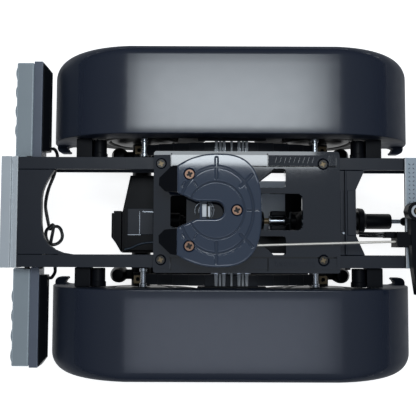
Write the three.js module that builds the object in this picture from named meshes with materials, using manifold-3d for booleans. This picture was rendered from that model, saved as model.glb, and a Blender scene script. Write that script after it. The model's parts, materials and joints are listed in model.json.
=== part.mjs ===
// Rear tandem-axle section of a model truck chassis, millimetres, +Z up.
// +X points to the cab, +Y to the truck's left. The origin is on the ground under the bogie's pivot.
import * as THREE from 'three';
import { mergeVertices } from 'three/addons/utils/BufferGeometryUtils.js';
import Module from 'manifold-3d';

const wasm = await Module();
wasm.setup();

// ---- Driving dimensions -------------------------------------------------------------------------
const GAP = 0.3;                 // clearance between neighbouring pieces
const BEYOND = 200;              // past the part on every side, for tools that cut right through
const HALF_LENGTH = 132.6;       // chassis end to the bogie's centre, both ways

const AXLE_X = 56;               // bogie centre to each axle
const AXLE_Z = 41.5;             // axle height, which is also the tyre's radius
const RIM_R = 22.7;
const WHEEL_IN = 45.4;           // inner face of a wheel, from the centre plane
const WHEEL_OUT = 89.6;
const SHAFT_R = 2.5;

const RAIL_HALF = 31.5;          // outer face of a rail, from the centre plane
const RAIL_TOP = 81;
const RAIL_BOTTOM = 63;
const RAIL_WALL = 1.6;
const FLANGE = 7;
const RAIL_REAR = -122.6;
const RAIL_HOLES = [-103, -64, -26, 26, 62, 92];
const RAIL_HOLE_R = 2.2;
const RAIL_HOLE_Z = 71;

const FENDER_IN = 43.2;
const FENDER_OUT = 94.3;
const FENDER_X = 58.7;           // centre of each end's arc, a little outside the axle
const FENDER_R = 51;             // outer radius of the end arcs
const FENDER_CORNER = 12;        // radius of the outer corners, seen from above
const FENDER_LOW = 36;
const FENDER_WALL = 1.8;
const FENDER_LIP = 16;           // depth of the side walls under the skin
const FENDER_BEVEL = 4;
const FENDER_FOOT = FENDER_LOW + FENDER_BEVEL;

const TRUNNION_Z = 50;
const TRUNNION_R = 4;
const TRUNNION_HALF = 44.5;
const SPRING_Y = 39.8;           // centre plane of a spring
const SPRING_W = 6.6;
const SPRING_HALF = 54;
const SPRING_Z = 57;             // underside of the spring at the trunnion
const LEAF = 1.6;
const LEAVES = 5;
const HOOP = 1.2;                // thickness of a spring clamp's sides
const SHAFT_Y = -3.5;            // drive line, from the centre plane
const SHAFT_Z = 42;
const DIFF_Y = -11;              // centre of a differential casing

const BASE_X = [-44.5, 60];
const BASE_HALF = 34.2;
const BASE_TOP = 88;
const PLATE_X = -9.5;            // kingpin and tilt axis
const PLATE_TOP = 104.4;
const PLATE_EDGE = 97.4;         // underside of the plate's rim
const PLATE_SKIN = 101;          // underside of the plate's skin
const PLATE_HALF = 30.5;
const PIVOT_Z = 93;
const PIN_R = 2;
const SLOT_HALF = 4.65;
const PLATE_REAR = -30.6;

const LAMP_Z = [59, 71];
const LAMP_Y = [32, 90];
const LAMP_FIRST = 49;
const LAMP_PITCH = 11.5;
const LAMP_COUNT = 4;
const LAMP_R = 4.8;

// ---- Materials ----------------------------------------------------------------------------------
function paint(color, roughness, metalness) {
  return new THREE.MeshStandardMaterial({ color, roughness, metalness });
}
const charcoal = paint(0x33363b, 0.45, 0.5);
const gloss = paint(0x2b333f, 0.2, 0.4);
const shell = paint(0x4a4f5b, 0.35, 0.1);
const black = paint(0x17181b, 0.4, 0.1);
const steel = paint(0xa9b0b8, 0.3, 0.9);
const tyre = paint(0x1b1b1d, 0.85, 0);
const lens = paint(0x7b868c, 0.25, 0);
const pale = paint(0xa9b1b9, 0.4, 0.3);

// ---- Solids -------------------------------------------------------------------------------------
function toSolid(geometry) {
  const bare = geometry.clone();
  bare.deleteAttribute('normal');
  bare.deleteAttribute('uv');
  const merged = mergeVertices(bare, 1e-4);
  const index = merged.index.array;
  const corners = [];
  for (let i = 0; i < index.length; i += 3) {
    const [a, b, c] = [index[i], index[i + 1], index[i + 2]];
    if (a !== b && b !== c && c !== a) corners.push(a, b, c);
  }
  const vertProperties = new Float32Array(merged.attributes.position.array);
  const make = (list) => new wasm.Manifold(
    new wasm.Mesh({ numProp: 3, vertProperties, triVerts: new Uint32Array(list) }));
  const solid = make(corners);
  if (solid.volume() > 0) return solid;
  return make(corners.reverse());
}

function toGeometry(solid) {
  const mesh = solid.getMesh();
  const geometry = new THREE.BufferGeometry();
  geometry.setAttribute('position', new THREE.BufferAttribute(mesh.vertProperties, 3));
  geometry.setIndex(new THREE.BufferAttribute(mesh.triVerts, 1));
  geometry.computeVertexNormals();
  return geometry;
}

const AXES = {
  x: [[0, 1, 0], [0, 0, 1], [1, 0, 0]],
  y: [[1, 0, 0], [0, 0, 1], [0, -1, 0]],
  z: [[1, 0, 0], [0, 1, 0], [0, 0, 1]],
};

// An outline drawn in (Y,Z), (X,Z) or (X,Y) and pushed along x, y or z.
function prism(outline, axis, from, to, bevel = 0, bevelSegments = 2, curveSegments = 6) {
  const shape = outline instanceof THREE.Shape
    ? outline
    : new THREE.Shape(outline.map(([u, v]) => new THREE.Vector2(u, v)));
  const geometry = new THREE.ExtrudeGeometry(shape, {
    depth: to - from - 2 * bevel,
    curveSegments,
    bevelEnabled: bevel > 0,
    bevelThickness: bevel,
    bevelSize: bevel,
    bevelOffset: -bevel,
    bevelSegments,
  });
  const basis = AXES[axis].map((v) => new THREE.Vector3(...v));
  geometry.applyMatrix4(new THREE.Matrix4().makeBasis(...basis));
  const shift = { x: [from + bevel, 0, 0], y: [0, to - bevel, 0], z: [0, 0, from + bevel] };
  geometry.translate(...shift[axis]);
  return toSolid(geometry);
}

function block([x0, x1], [y0, y1], [z0, z1]) {
  const geometry = new THREE.BoxGeometry(x1 - x0, y1 - y0, z1 - z0);
  geometry.translate((x0 + x1) / 2, (y0 + y1) / 2, (z0 + z1) / 2);
  return toSolid(geometry);
}

function roundedBox(x0, x1, y0, y1, r) {
  const shape = new THREE.Shape();
  shape.absarc(x1 - r, y1 - r, r, 0, Math.PI / 2);
  shape.absarc(x0 + r, y1 - r, r, Math.PI / 2, Math.PI);
  shape.absarc(x0 + r, y0 + r, r, Math.PI, 1.5 * Math.PI);
  shape.absarc(x1 - r, y0 + r, r, 1.5 * Math.PI, 2 * Math.PI);
  return shape;
}

// A round bar along an axis; u and v are the two other coordinates, in the order that prism uses.
function rod(axis, radius, from, to, u, v, curveSegments = 6) {
  const circle = new THREE.Shape();
  circle.absarc(u, v, radius, 0, 2 * Math.PI);
  return prism(circle, axis, from, to, 0, 0, curveSegments);
}

// A profile of [radius, place along the axis] turned about a line along x or y.
function turned(profile, axis, centre, sides) {
  const geometry = new THREE.LatheGeometry(profile.map(([r, t]) => new THREE.Vector2(r, t)), sides);
  if (axis === 'x') {
    geometry.applyMatrix4(new THREE.Matrix4().makeBasis(
      new THREE.Vector3(0, 0, 1), new THREE.Vector3(1, 0, 0), new THREE.Vector3(0, 1, 0)));
  }
  geometry.translate(...centre);
  return toSolid(geometry);
}

function tube(points, radius, steps) {
  const path = new THREE.CatmullRomCurve3(points.map((p) => new THREE.Vector3(...p)));
  const circle = new THREE.Shape();
  circle.absarc(0, 0, radius, 0, 2 * Math.PI);
  return toSolid(new THREE.ExtrudeGeometry(circle, { steps, extrudePath: path, curveSegments: 4 }));
}

const join = (...solids) => solids.reduce((a, b) => a.add(b));
const cut = (solid, ...tools) => tools.reduce((a, b) => a.subtract(b), solid);
const span = (side, a, b) => (side > 0 ? [a, b] : [-b, -a]);

const truck = new THREE.Group();
function place(name, solid, material) {
  const mesh = new THREE.Mesh(toGeometry(solid), material);
  mesh.name = name;
  truck.add(mesh);
}
const SIDES = [['left', 1], ['right', -1]];
const ENDS = [['rear', -1], ['front', 1]];

// ---- Frame --------------------------------------------------------------------------------------
function rail(side) {
  const inner = RAIL_HALF - FLANGE;
  const web = RAIL_HALF - RAIL_WALL;
  const section = [
    [inner, RAIL_BOTTOM], [RAIL_HALF, RAIL_BOTTOM], [RAIL_HALF, RAIL_TOP], [inner, RAIL_TOP],
    [inner, RAIL_TOP - RAIL_WALL], [web, RAIL_TOP - RAIL_WALL],
    [web, RAIL_BOTTOM + RAIL_WALL], [inner, RAIL_BOTTOM + RAIL_WALL],
  ].map(([y, z]) => [side * y, z]);
  let solid = prism(section, 'x', RAIL_REAR, HALF_LENGTH - GAP);
  for (const x of RAIL_HOLES) {
    const [y0, y1] = span(side, web - 1, RAIL_HALF + 1);
    solid = solid.subtract(rod('y', RAIL_HOLE_R, y0, y1, x, RAIL_HOLE_Z));
  }
  return solid;
}

// The pieces between the rails reach into the channels, under the top flange and over the lower one.
const CHANNEL = RAIL_HALF - RAIL_WALL - GAP;
const THROAT = RAIL_HALF - FLANGE - GAP;
const UNDER_TOP = RAIL_TOP - RAIL_WALL - GAP;
const OVER_LOW = RAIL_BOTTOM + RAIL_WALL + GAP;

const CHANNEL_OVERLAP = 3;
function channelEnds(x0, x1) {
  const ends = SIDES.map(([, side]) => {
    const y = span(side, THROAT - CHANNEL_OVERLAP, CHANNEL);
    return block([x0, x1], y, [OVER_LOW, UNDER_TOP]);
  });
  return join(...ends);
}
const REAR_SHEET = 2;            // thickness of the rear crossmember's plate
const CROSS_SHEET = 3;           // and of the others'

// The forward edge is an arch that is flat across its middle and runs out along the rails.
function rearCrossmember() {
  const middle = -109;
  const front = -97;
  const shape = new THREE.Shape();
  shape.moveTo(RAIL_REAR, -THROAT);
  shape.lineTo(front + 6, -THROAT);
  shape.bezierCurveTo(front - 6, -THROAT + 1, middle, -17, middle, -6);
  shape.lineTo(middle, 8);
  shape.bezierCurveTo(middle, 15, middle + 6, THROAT - 2, front - 5, THROAT);
  shape.lineTo(RAIL_REAR, THROAT);
  const plate = prism(shape, 'z', UNDER_TOP - REAR_SHEET, RAIL_TOP);
  return plate.add(channelEnds(RAIL_REAR, middle));
}

// The trunnion's two legs reach down to a guard plate that closes the space under the drive line.
const GUARD_X = [-48, 49];
const GUARD_Z = [17, 20];
function centerCrossmember() {
  const halfX = 12;
  const legX = 8;
  const legIn = 17;
  const low = GUARD_Z[0];
  const bridge = block([-halfX, halfX], [-CHANNEL, CHANNEL], [UNDER_TOP - CROSS_SHEET, UNDER_TOP]);
  const legs = SIDES.map(([, side]) => block([-legX, legX], span(side, legIn, THROAT), [low, UNDER_TOP]));
  const guard = block(GUARD_X, [-THROAT, THROAT], GUARD_Z);
  const bore = rod('y', TRUNNION_R + GAP, -BEYOND, BEYOND, 0, TRUNNION_Z);
  return cut(join(bridge, channelEnds(-halfX, halfX), ...legs, guard), bore);
}

// The plate ahead of the coupling flares along the rails.
function frontCrossmember() {
  const rear = 61;
  const front = 70.6;
  const flare = 5;
  const flareY = 13.2;
  const outline = [
    [rear, -THROAT], [front + flare, -THROAT], [front, -flareY],
    [front, flareY], [front + flare, THROAT], [rear, THROAT],
  ];
  const plate = prism(outline, 'z', UNDER_TOP - CROSS_SHEET, RAIL_TOP);
  return join(plate, channelEnds(rear + 1, front + 3.4));
}

function cabCrossmember() {
  const rear = 120;
  const middle = block([rear, HALF_LENGTH], [-THROAT, THROAT], [OVER_LOW, UNDER_TOP]);
  return join(middle, channelEnds(rear, HALF_LENGTH - GAP));
}

function rearEndPlate() {
  const half = RAIL_HALF + 0.5;
  const top = RAIL_TOP - 0.5;
  const body = block([-HALF_LENGTH, RAIL_REAR - GAP], [-half, half], [RAIL_BOTTOM - 2, top]);
  const groove = block([-126.8, -125.4], [-BEYOND, BEYOND], [top - 1.7, BEYOND]);
  return cut(body, groove);
}

place('left_rail', rail(1), charcoal);
place('right_rail', rail(-1), charcoal);
place('rear_crossmember', rearCrossmember(), charcoal);
place('center_crossmember', centerCrossmember(), charcoal);
place('front_crossmember', frontCrossmember(), charcoal);
place('cab_crossmember', cabCrossmember(), charcoal);
place('rear_end_plate', rearEndPlate(), pale);
place('trunnion_shaft', rod('y', TRUNNION_R, -TRUNNION_HALF, TRUNNION_HALF, 0, TRUNNION_Z), steel);

// ---- Tail lamps ---------------------------------------------------------------------------------
const LAMP_FACE = -127.8;
const LAMP_LENS = -117.7;
const LAMP_BACK = -112.3;
const BRACKET_BACK = -108.4;
const BRACKET_NEAR = 36.5;
const LENS_STEP = 0.6;           // the housing stands this much prouder than the lens
// A lens bar with four round lenses on its face.
function lampLens(side) {
  const [y0, y1] = span(side, LAMP_Y[0] + LENS_STEP, LAMP_Y[1] - LENS_STEP);
  const [low, high] = LAMP_Z;
  let solid = block([LAMP_FACE, LAMP_LENS], [y0, y1], [low + LENS_STEP, high - LENS_STEP]);
  for (let i = 0; i < LAMP_COUNT; i += 1) {
    const y = side * (LAMP_FIRST + i * LAMP_PITCH);
    solid = solid.add(rod('x', LAMP_R, LAMP_FACE - 1.5, LAMP_FACE + 0.5, y, (low + high) / 2));
  }
  return solid;
}
// The lamp's back narrows towards its rear face and its far end.
function lampBracket(side) {
  const front = LAMP_BACK + GAP;
  const far = LAMP_Y[1] - LENS_STEP;
  const [low, high] = LAMP_Z;
  const taper = 3.4;
  const outline = [
    [front, BRACKET_NEAR], [BRACKET_BACK, BRACKET_NEAR], [BRACKET_BACK, far - taper - 1], [front, far],
  ];
  const section = [
    [front, low + 0.4], [BRACKET_BACK, low + taper], [BRACKET_BACK, high - taper], [front, high - 0.4],
  ];
  const body = prism(outline.map(([x, y]) => [x, side * y]), 'z', low, high);
  return body.intersect(prism(section, 'y', -LAMP_Y[1], LAMP_Y[1]));
}
for (const [name, side] of SIDES) {
  place(`${name}_lamp_lens`, lampLens(side), lens);
  const housing = block([LAMP_LENS + GAP, LAMP_BACK], span(side, ...LAMP_Y), LAMP_Z);
  place(`${name}_lamp_housing`, housing, charcoal);
  place(`${name}_lamp_bracket`, lampBracket(side), black);
}

// The lead leaves one lamp through a hole in the rail, follows the arched edge below the crossmember's
// plate, makes one slack loop and leaves through the other rail to the second lamp.
const LEAD_R = 1.1;
const LEAD_Z = 70;
function lampLead() {
  const bracket = BRACKET_BACK + GAP;
  const hole = RAIL_HOLES[0];
  const toLamp = (side) => [
    [bracket, side * 38.5, 65], [bracket + 1.8, side * 38.3, 65.4], [hole - 0.4, side * 35, 69],
    [hole, side * RAIL_HALF, RAIL_HOLE_Z], [hole, side * 28.5, RAIL_HOLE_Z],
  ];
  const loop = [];
  const points = 12;
  const rise = 4.4;
  for (let i = 0; i <= points; i += 1) {
    const a = Math.PI * (0.75 - (2.25 * i) / points);
    loop.push([-103.6 + 4.6 * Math.cos(a), -13.4 + 5.4 * Math.sin(a), LEAD_Z + (rise * i) / points]);
  }
  const steps = 72;
  return tube([
    ...toLamp(1), [hole - 2, 22.5, LEAD_Z - 1], [-108, 14, LEAD_Z], [-109.4, 5, LEAD_Z], [-108.4, -3, LEAD_Z],
    ...loop, [-105.2, -20.6, LEAD_Z + 4], [-102, -24.6, LEAD_Z + 1.6], ...toLamp(-1).reverse(),
  ], LEAD_R, steps);
}
place('lamp_lead', lampLead(), black);

// ---- Fenders ------------------------------------------------------------------------------------
function arch(radius, low) {
  const shape = new THREE.Shape();
  shape.moveTo(FENDER_X + radius, low);
  shape.absarc(FENDER_X, AXLE_Z, radius, 0, Math.PI / 2);
  shape.absarc(-FENDER_X, AXLE_Z, radius, Math.PI / 2, Math.PI);
  shape.lineTo(-FENDER_X - radius, low);
  return shape;
}
// Seen from above, the fender's two outer corners are round.
function cornered(solid, side, inset) {
  const far = FENDER_X + FENDER_R - inset;
  const [y0, y1] = span(side, -FENDER_OUT, FENDER_OUT - inset);
  return solid.intersect(prism(roundedBox(-far, far, y0, y1, FENDER_CORNER - inset), 'z', 0, BEYOND));
}
// At each low end the inner wall widens into a flat hook that points along the rail.
function fenderHook(side, end) {
  const far = FENDER_X + FENDER_R;
  const root = FENDER_IN + 1.4;
  const outline = [
    [far - 1, root], [far - 0.6, 41.6], [far - 1.4, 39.6], [far - 3, 38.7], [far - 8.6, 38.6],
    [far - 8.4, 40.2], [far - 6.9, 42.3], [far - 9, 43], [far - 12, FENDER_IN + 0.2], [far - 12, root],
  ].map(([x, y]) => [end * x, side * y]);
  return prism(outline, 'z', FENDER_FOOT, FENDER_FOOT + 7);
}
// The skin is bevelled all round, so it is drawn lower than its foot and its underside is cut away.
function fender(side) {
  const [y0, y1] = span(side, FENDER_IN, FENDER_OUT);
  const outer = prism(arch(FENDER_R, FENDER_LOW), 'y', y0, y1, FENDER_BEVEL);
  const inside = arch(FENDER_R - FENDER_WALL, FENDER_LOW - 20);
  const hollow = prism(inside, 'y', y0 + FENDER_WALL, y1 - FENDER_WALL, FENDER_BEVEL - 1);
  const middle = prism(arch(FENDER_R - FENDER_LIP, FENDER_LOW - 20), 'y', y0 - 1, y1 + 1);
  const underside = block([-BEYOND, BEYOND], [y0 - 1, y1 + 1], [0, FENDER_FOOT]);
  const hooks = ENDS.map(([, end]) => fenderHook(side, end));
  const skin = cut(cornered(outer, side, 0), cornered(hollow, side, FENDER_WALL), middle, underside);
  return join(skin, ...hooks);
}
const STAY_X = { rear: -86, front: 82.3 };
const STAY_PIN_X = { rear: -50.7, front: 47.5 };
const STAY_PIN_Z = 78.7;
const STAY_PIN_R = 2.1;
const STAY_Z = [66.5, 76];
const STAY_HALF = 4.6;
const STAY_BOSS_R = 4;
for (const [name, side] of SIDES) {
  place(`${name}_fender`, fender(side), shell);
  const reach = span(side, RAIL_HALF + GAP, FENDER_IN - GAP);
  for (const [end] of ENDS) {
    const x = STAY_X[end];
    const inner = x - Math.sign(x) * (STAY_HALF + STAY_BOSS_R - 0.2);
    const boss = rod('y', STAY_BOSS_R, ...reach, inner, 71.5);
    const arm = block([x - STAY_HALF, x + STAY_HALF], reach, STAY_Z);
    place(`${name}_${end}_fender_stay`, arm.add(boss), black);
    place(`${name}_${end}_stay_pin`, rod('y', STAY_PIN_R, ...reach, STAY_PIN_X[end], STAY_PIN_Z), steel);
  }
}

// ---- Fifth wheel --------------------------------------------------------------------------------
function mountingBase() {
  const low = RAIL_TOP + GAP;
  const skin = BASE_TOP - 3;
  const body = prism(roundedBox(...BASE_X, -BASE_HALF, BASE_HALF, 3), 'z', low, BASE_TOP, 2);
  const hollow = block([BASE_X[0] + 6, BASE_X[1] - 6], [-21, 21], [low - 1, skin]);
  const window = prism(roundedBox(9, 39.2, -10.3, 10.3, 3), 'z', 0, BEYOND);
  const throat = prism(roundedBox(-35, -26, -9, 9, 1.5), 'z', 0, BEYOND);
  const lugs = [];
  const slots = [];
  for (const [, side] of SIDES) {
    lugs.push(block([PLATE_X - 5.5, PLATE_X + 5.5], span(side, 18, 22), [skin - 1, PIVOT_Z + 3.5]));
    const slot = [[13.5, 13.6], [29.6, 13.6], [29.6, 24.3], [23, 24.3], [13.5, 16]];
    slots.push(prism(slot.map(([x, y]) => [x, side * y]), 'z', 0, BEYOND));
  }
  const bore = rod('y', PIN_R + GAP, -BEYOND, BEYOND, PLATE_X, PIVOT_Z);
  return cut(join(cut(body, hollow), ...lugs), window, throat, ...slots, bore);
}

// The plate's front is fuller than an ellipse at its corners, and its rear is cut straight.
const FULLNESS = 2.8;
function plateOutline(grow) {
  const points = [];
  const frontHalf = 24.3 + grow;
  const rearHalf = 34 + grow;
  const wide = PLATE_HALF + grow;
  const rear = PLATE_REAR - grow;
  const rearAngle = Math.acos((rear - PLATE_X) / rearHalf);
  const steps = 16;
  for (let i = 0; i <= steps; i += 1) {
    const a = -Math.PI / 2 + (Math.PI * i) / steps;
    const x = frontHalf * Math.abs(Math.cos(a)) ** (2 / FULLNESS);
    const y = wide * Math.sign(a) * Math.abs(Math.sin(a)) ** (2 / FULLNESS);
    points.push([PLATE_X + x, y]);
  }
  const rearSteps = 4;
  const left = [];
  for (let i = 1; i <= rearSteps; i += 1) {
    const a = Math.PI / 2 + ((rearAngle - Math.PI / 2) * i) / rearSteps;
    left.push([PLATE_X + rearHalf * Math.cos(a), wide * Math.sin(a)]);
  }
  points.push(...left);
  points.push(...left.reverse().map(([x, y]) => [x, -y]));
  return points;
}
function slotShape(grow) {
  const half = SLOT_HALF + grow;
  const mouth = 2 * SLOT_HALF + grow;
  const shape = new THREE.Shape();
  shape.moveTo(-60, -mouth);
  shape.lineTo(PLATE_REAR, -mouth);
  shape.lineTo(-20, -half);
  shape.absarc(PLATE_X - 0.5, 0, half, -Math.PI / 2, Math.PI / 2);
  shape.lineTo(-20, half);
  shape.lineTo(PLATE_REAR, mouth);
  shape.lineTo(-60, mouth);
  return shape;
}
function topPlate() {
  const body = prism(plateOutline(0), 'z', PLATE_EDGE, PLATE_TOP, 0.8, 1);
  const pocket = prism(plateOutline(-3), 'z', PLATE_EDGE - 1, PLATE_SKIN);
  const wall = prism(slotShape(2.4), 'z', PLATE_EDGE, PLATE_SKIN + 1);
  const parts = [];
  const bores = [];
  for (const [, side] of SIDES) {
    const ramp = [[-28, PLATE_TOP - 0.4], [-41, PLATE_EDGE + 2.4], [-41, PLATE_EDGE], [-28, PLATE_EDGE]];
    const horn = [[-28, 9.6], [-37.3, 10.4], [-40.6, 13.6], [-40.4, 17.6], [-34, 23.6], [-28, 24.4]];
    const outline = horn.map(([x, y]) => [x, side * y]);
    parts.push(prism(ramp, 'y', -BEYOND, BEYOND).intersect(prism(outline, 'z', 0, BEYOND)));
    const earX = [PLATE_X - 4.5, PLATE_X + 4.5];
    parts.push(block(earX, span(side, 22.6, 26.6), [PIVOT_Z - 3.5, PLATE_SKIN + 1]));
    bores.push(rod('y', PIN_R + GAP, ...span(side, 20, 28), PLATE_X, PIVOT_Z));
  }
  const slot = prism(slotShape(0), 'z', 0, BEYOND);
  return cut(join(cut(body, pocket.subtract(wall)), ...parts), slot, ...bores);
}
// The hook that closes behind the kingpin turns on a pin through its round end.
const JAW_PIVOT = [-9, 11.5];
const JAW_PIN_R = 1.5;
const JAW_Z = [93.5, 97];
function lockingJaw() {
  const outline = [
    [-6, 9.5], [-6, 13.5], [-11, 14.3], [-18.5, 6], [-18.5, -7], [-14.8, -7], [-14.8, 4.5],
  ];
  const bore = rod('z', JAW_PIN_R + GAP, 0, BEYOND, ...JAW_PIVOT);
  return prism(outline, 'z', ...JAW_Z).subtract(bore);
}
place('fifth_wheel_base', mountingBase(), gloss);
place('fifth_wheel_plate', topPlate(), gloss);
for (const [name, side] of SIDES) {
  place(`${name}_pivot_pin`, rod('y', PIN_R, ...span(side, 17.4, 28), PLATE_X, PIVOT_Z), steel);
}
place('locking_jaw', lockingJaw(), steel);
place('jaw_pin', rod('z', JAW_PIN_R, JAW_Z[0] - 0.8, PLATE_SKIN - GAP, ...JAW_PIVOT), steel);

// ---- Release gear and deck ----------------------------------------------------------------------
const ROD_Z = 92;
const ROD_R = 0.8;
const ROD_START = [4, -19, ROD_Z];
const ROD_SLOPE = 0.0305;        // the rod leans this far towards the centre plane for each step forward
const CASE_REAR = 98.8;
const CASE_TOP = 90;
const DECK_TOP = RAIL_TOP + 2.3;
function slantedRod(radius, x0, x1) {
  const at = (x) => [x, ROD_START[1] + (x - ROD_START[0]) * ROD_SLOPE, ROD_Z];
  return tube([at(x0), at(x1)], radius, 1);
}
// The rod end slides in a block on the gearbox case, and the cable enters the block's side arm.
function releaseBlock() {
  const low = DECK_TOP + GAP;
  const body = block([89.5, 95.6], [-19.6, -11], [low, ROD_Z + 3]);
  const arm = block([84.8, 90], [-14.4, -10.9], [low, CASE_TOP]);
  const neck = block([95, CASE_REAR - GAP], [-18.6, -12.4], [low, CASE_TOP]);
  return cut(join(body, arm, neck), slantedRod(ROD_R + GAP, 80, 110));
}
function gearboxCase() {
  const low = DECK_TOP + GAP;
  const lobeX = 102;
  const front = 130;
  const right = -46;
  const body = prism([
    [lobeX, 5], [front, 5], [front, right], [CASE_REAR + 3, right],
    [CASE_REAR + 1, -31], [CASE_REAR, -15], [CASE_REAR, -4],
  ], 'z', low, CASE_TOP);
  return body.add(rod('z', 5.4, low, CASE_TOP + 1.5, lobeX, 0.5));
}
const DECK_REAR = 98;
function deckPlate() {
  return block([DECK_REAR, HALF_LENGTH - GAP], [-RAIL_HALF, RAIL_HALF], [RAIL_TOP + GAP, DECK_TOP]);
}
const RELEASE_CABLE = [[84.5, -12.6, 86.4], [80.5, -12.6, 85.6], [76, -12.5, 82.6], [72.6, -12.3, 79.8]];
place('release_rod', slantedRod(ROD_R, ROD_START[0], 91), steel);
place('release_block', releaseBlock(), black);
place('deck_plate', deckPlate(), pale);
place('gearbox_case', gearboxCase(), black);
place('release_cable', tube(RELEASE_CABLE, 1.5, 8), black);

// ---- Bogie --------------------------------------------------------------------------------------
const NOSE_FRONT = AXLE_X + 24 + GAP;
const CASE_HIGH = 60;
function leafUnderside(x) {
  const drop = 6.5;
  return SPRING_Z - drop * (x / SPRING_HALF) ** 2;
}
// Each leaf is shorter than the one below it and sinks into it a little, so that the pack is one body.
function springPack(side) {
  const [y0, y1] = span(side, SPRING_Y - SPRING_W / 2, SPRING_Y + SPRING_W / 2);
  const leaves = [];
  const shorter = 9.5;
  const steps = 10;
  for (let i = 0; i < LEAVES; i += 1) {
    const half = SPRING_HALF - shorter * i;
    const sink = i ? 0.1 : 0;
    const lower = [];
    for (let k = 0; k <= steps; k += 1) {
      const x = half * ((2 * k) / steps - 1);
      lower.push([x, leafUnderside(x) + LEAF * i - sink]);
    }
    const upper = [...lower].reverse().map(([x, z]) => [x, z + LEAF + sink]);
    leaves.push(prism([...lower, ...upper], 'y', y0, y1));
  }
  return join(...leaves);
}
// A trunnion hub under the spring, with four hoops clamped round it.
function saddle(side) {
  const inside = SPRING_Y - SPRING_W / 2 - GAP;
  const outside = SPRING_Y + SPRING_W / 2 + GAP;
  const top = SPRING_Z + LEAF * LEAVES + GAP;
  const across = span(side, inside - HOOP, outside + HOOP);
  const hub = rod('y', 6.5, ...across, 0, TRUNNION_Z);
  const seat = block([-12, 12], across, [TRUNNION_Z, SPRING_Z - 1]);
  const pieces = [hub, seat];
  for (const x of [-9, -4.5, 4.5, 9]) {
    const hoop = block([x - 0.9, x + 0.9], across, [SPRING_Z - 2, top + 1.6]);
    pieces.push(hoop.subtract(block([x - 2, x + 2], span(side, inside, outside), [SPRING_Z - 0.9, top])));
  }
  return cut(join(...pieces), rod('y', TRUNNION_R + GAP, -BEYOND, BEYOND, 0, TRUNNION_Z));
}
const BEAM_R = 6;
const BEAM_HALF = 44.6;
const PAD_HALF = 4;
function axleHousing(end) {
  const x = end * AXLE_X;
  const beam = rod('y', BEAM_R, -BEAM_HALF, BEAM_HALF, x, AXLE_Z);
  const nose = end > 0 ? [x - 18, NOSE_FRONT - GAP] : [x + 5, x + 18];
  const input = rod('x', BEAM_R, ...nose, SHAFT_Y, SHAFT_Z);
  const pads = SIDES.map(([, side]) => {
    const y = span(side, SPRING_Y - PAD_HALF, SPRING_Y + PAD_HALF);
    return block([x - PAD_HALF, x + PAD_HALF], y, [AXLE_Z, leafUnderside(SPRING_HALF) - 0.8]);
  });
  const bore = rod('y', SHAFT_R + GAP, -BEYOND, BEYOND, x, AXLE_Z);
  return cut(join(beam, end < 0 ? transferCase() : bevelGearCase(x), input, ...pads), bore);
}
function bevelGearCase(x) {
  const profile = [[0, -15], [12, -15], [15, -9], [15, 6], [9, 16], [6.5, 16], [0, 16]];
  return turned(profile, 'x', [x, DIFF_Y, AXLE_Z], 24);
}
// The rear axle's step-down case fills the bay between the rails, with a slanted rear wall.
function transferCase() {
  const low = 30;
  const front = -45.5;
  const wall = 23.6;
  const outline = [[front, -wall], [front, wall], [-61.5, wall], [-66.2, 1], [-66.2, -wall]];
  const body = prism(outline, 'z', low, CASE_HIGH - 4);
  const step = 2;
  const narrow = 0.93;
  const raised = outline.map(([x, y]) => [x + (x < front ? step : 0), y * narrow]);
  return body.add(prism(raised, 'z', CASE_HIGH - 4.5, CASE_HIGH));
}
function rearDiffCover() {
  const flange = [[-66.5, -23.4], [-66.5, 1.8], [-71.2, 1.8], [-71.2, -15.4]];
  const bowl = [[-66.5, -22.6], [-66.5, 0.6], [-72.8, 0.6], [-72.8, -14.2]];
  return prism(flange, 'z', 31, CASE_HIGH - 2).add(prism(bowl, 'z', 33, CASE_HIGH - 4));
}
function frontDiffCover() {
  return rod('z', 9, AXLE_Z + 15 + GAP, AXLE_Z + 18, AXLE_X - 1.5, DIFF_Y);
}
for (const [name, side] of SIDES) {
  place(`${name}_spring_pack`, springPack(side), charcoal);
  place(`${name}_spring_saddle`, saddle(side), steel);
}
place('rear_axle_housing', axleHousing(-1), black);
place('front_axle_housing', axleHousing(1), black);
place('rear_diff_cover', rearDiffCover(), black);
place('front_diff_cover', frontDiffCover(), black);

// ---- Drive line ---------------------------------------------------------------------------------
place('prop_shaft', turned([
  [0, NOSE_FRONT], [8.4, NOSE_FRONT], [7.9, 84.7], [4.9, 85], [4.9, 101.4], [1.4, 101.8],
  [1.4, 108], [2.7, 109.6], [2.7, 112], [2.2, 117], [0, 117],
], 'x', [0, SHAFT_Y, SHAFT_Z], 16), steel);
const INTER = AXLE_X - 18 - GAP;
place('inter_axle_shaft', turned([
  [0, -INTER], [5, -INTER], [5, -31], [2.6, -30], [2.6, 19.5], [6.2, 20.4],
  [6.2, 23.6], [2.6, 24.4], [2.6, 31], [5, 32], [5, INTER], [0, INTER],
], 'x', [0, SHAFT_Y, SHAFT_Z], 16), steel);

// ---- Wheels -------------------------------------------------------------------------------------
const TYRE_W = 20.6;
const WHEEL_SIDES = 28;
const RIM_WALL = 2;
const RIM_WIDTH = WHEEL_OUT - WHEEL_IN;
const SHAFT_HALF = 84;
function tyreSolid(x, y) {
  const bead = RIM_R + GAP;
  const half = TYRE_W / 2;
  const right = [
    [bead, half - 2.4], [28, half - 0.6], [34, half], [38.5, half - 0.9],
    [40.6, half - 2.6], [AXLE_Z, half - 4.4],
  ];
  const profile = [...right, ...[...right].reverse().map(([r, t]) => [r, -t])];
  return turned([...profile, profile[0]], 'y', [x, y, AXLE_Z], WHEEL_SIDES);
}
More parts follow.
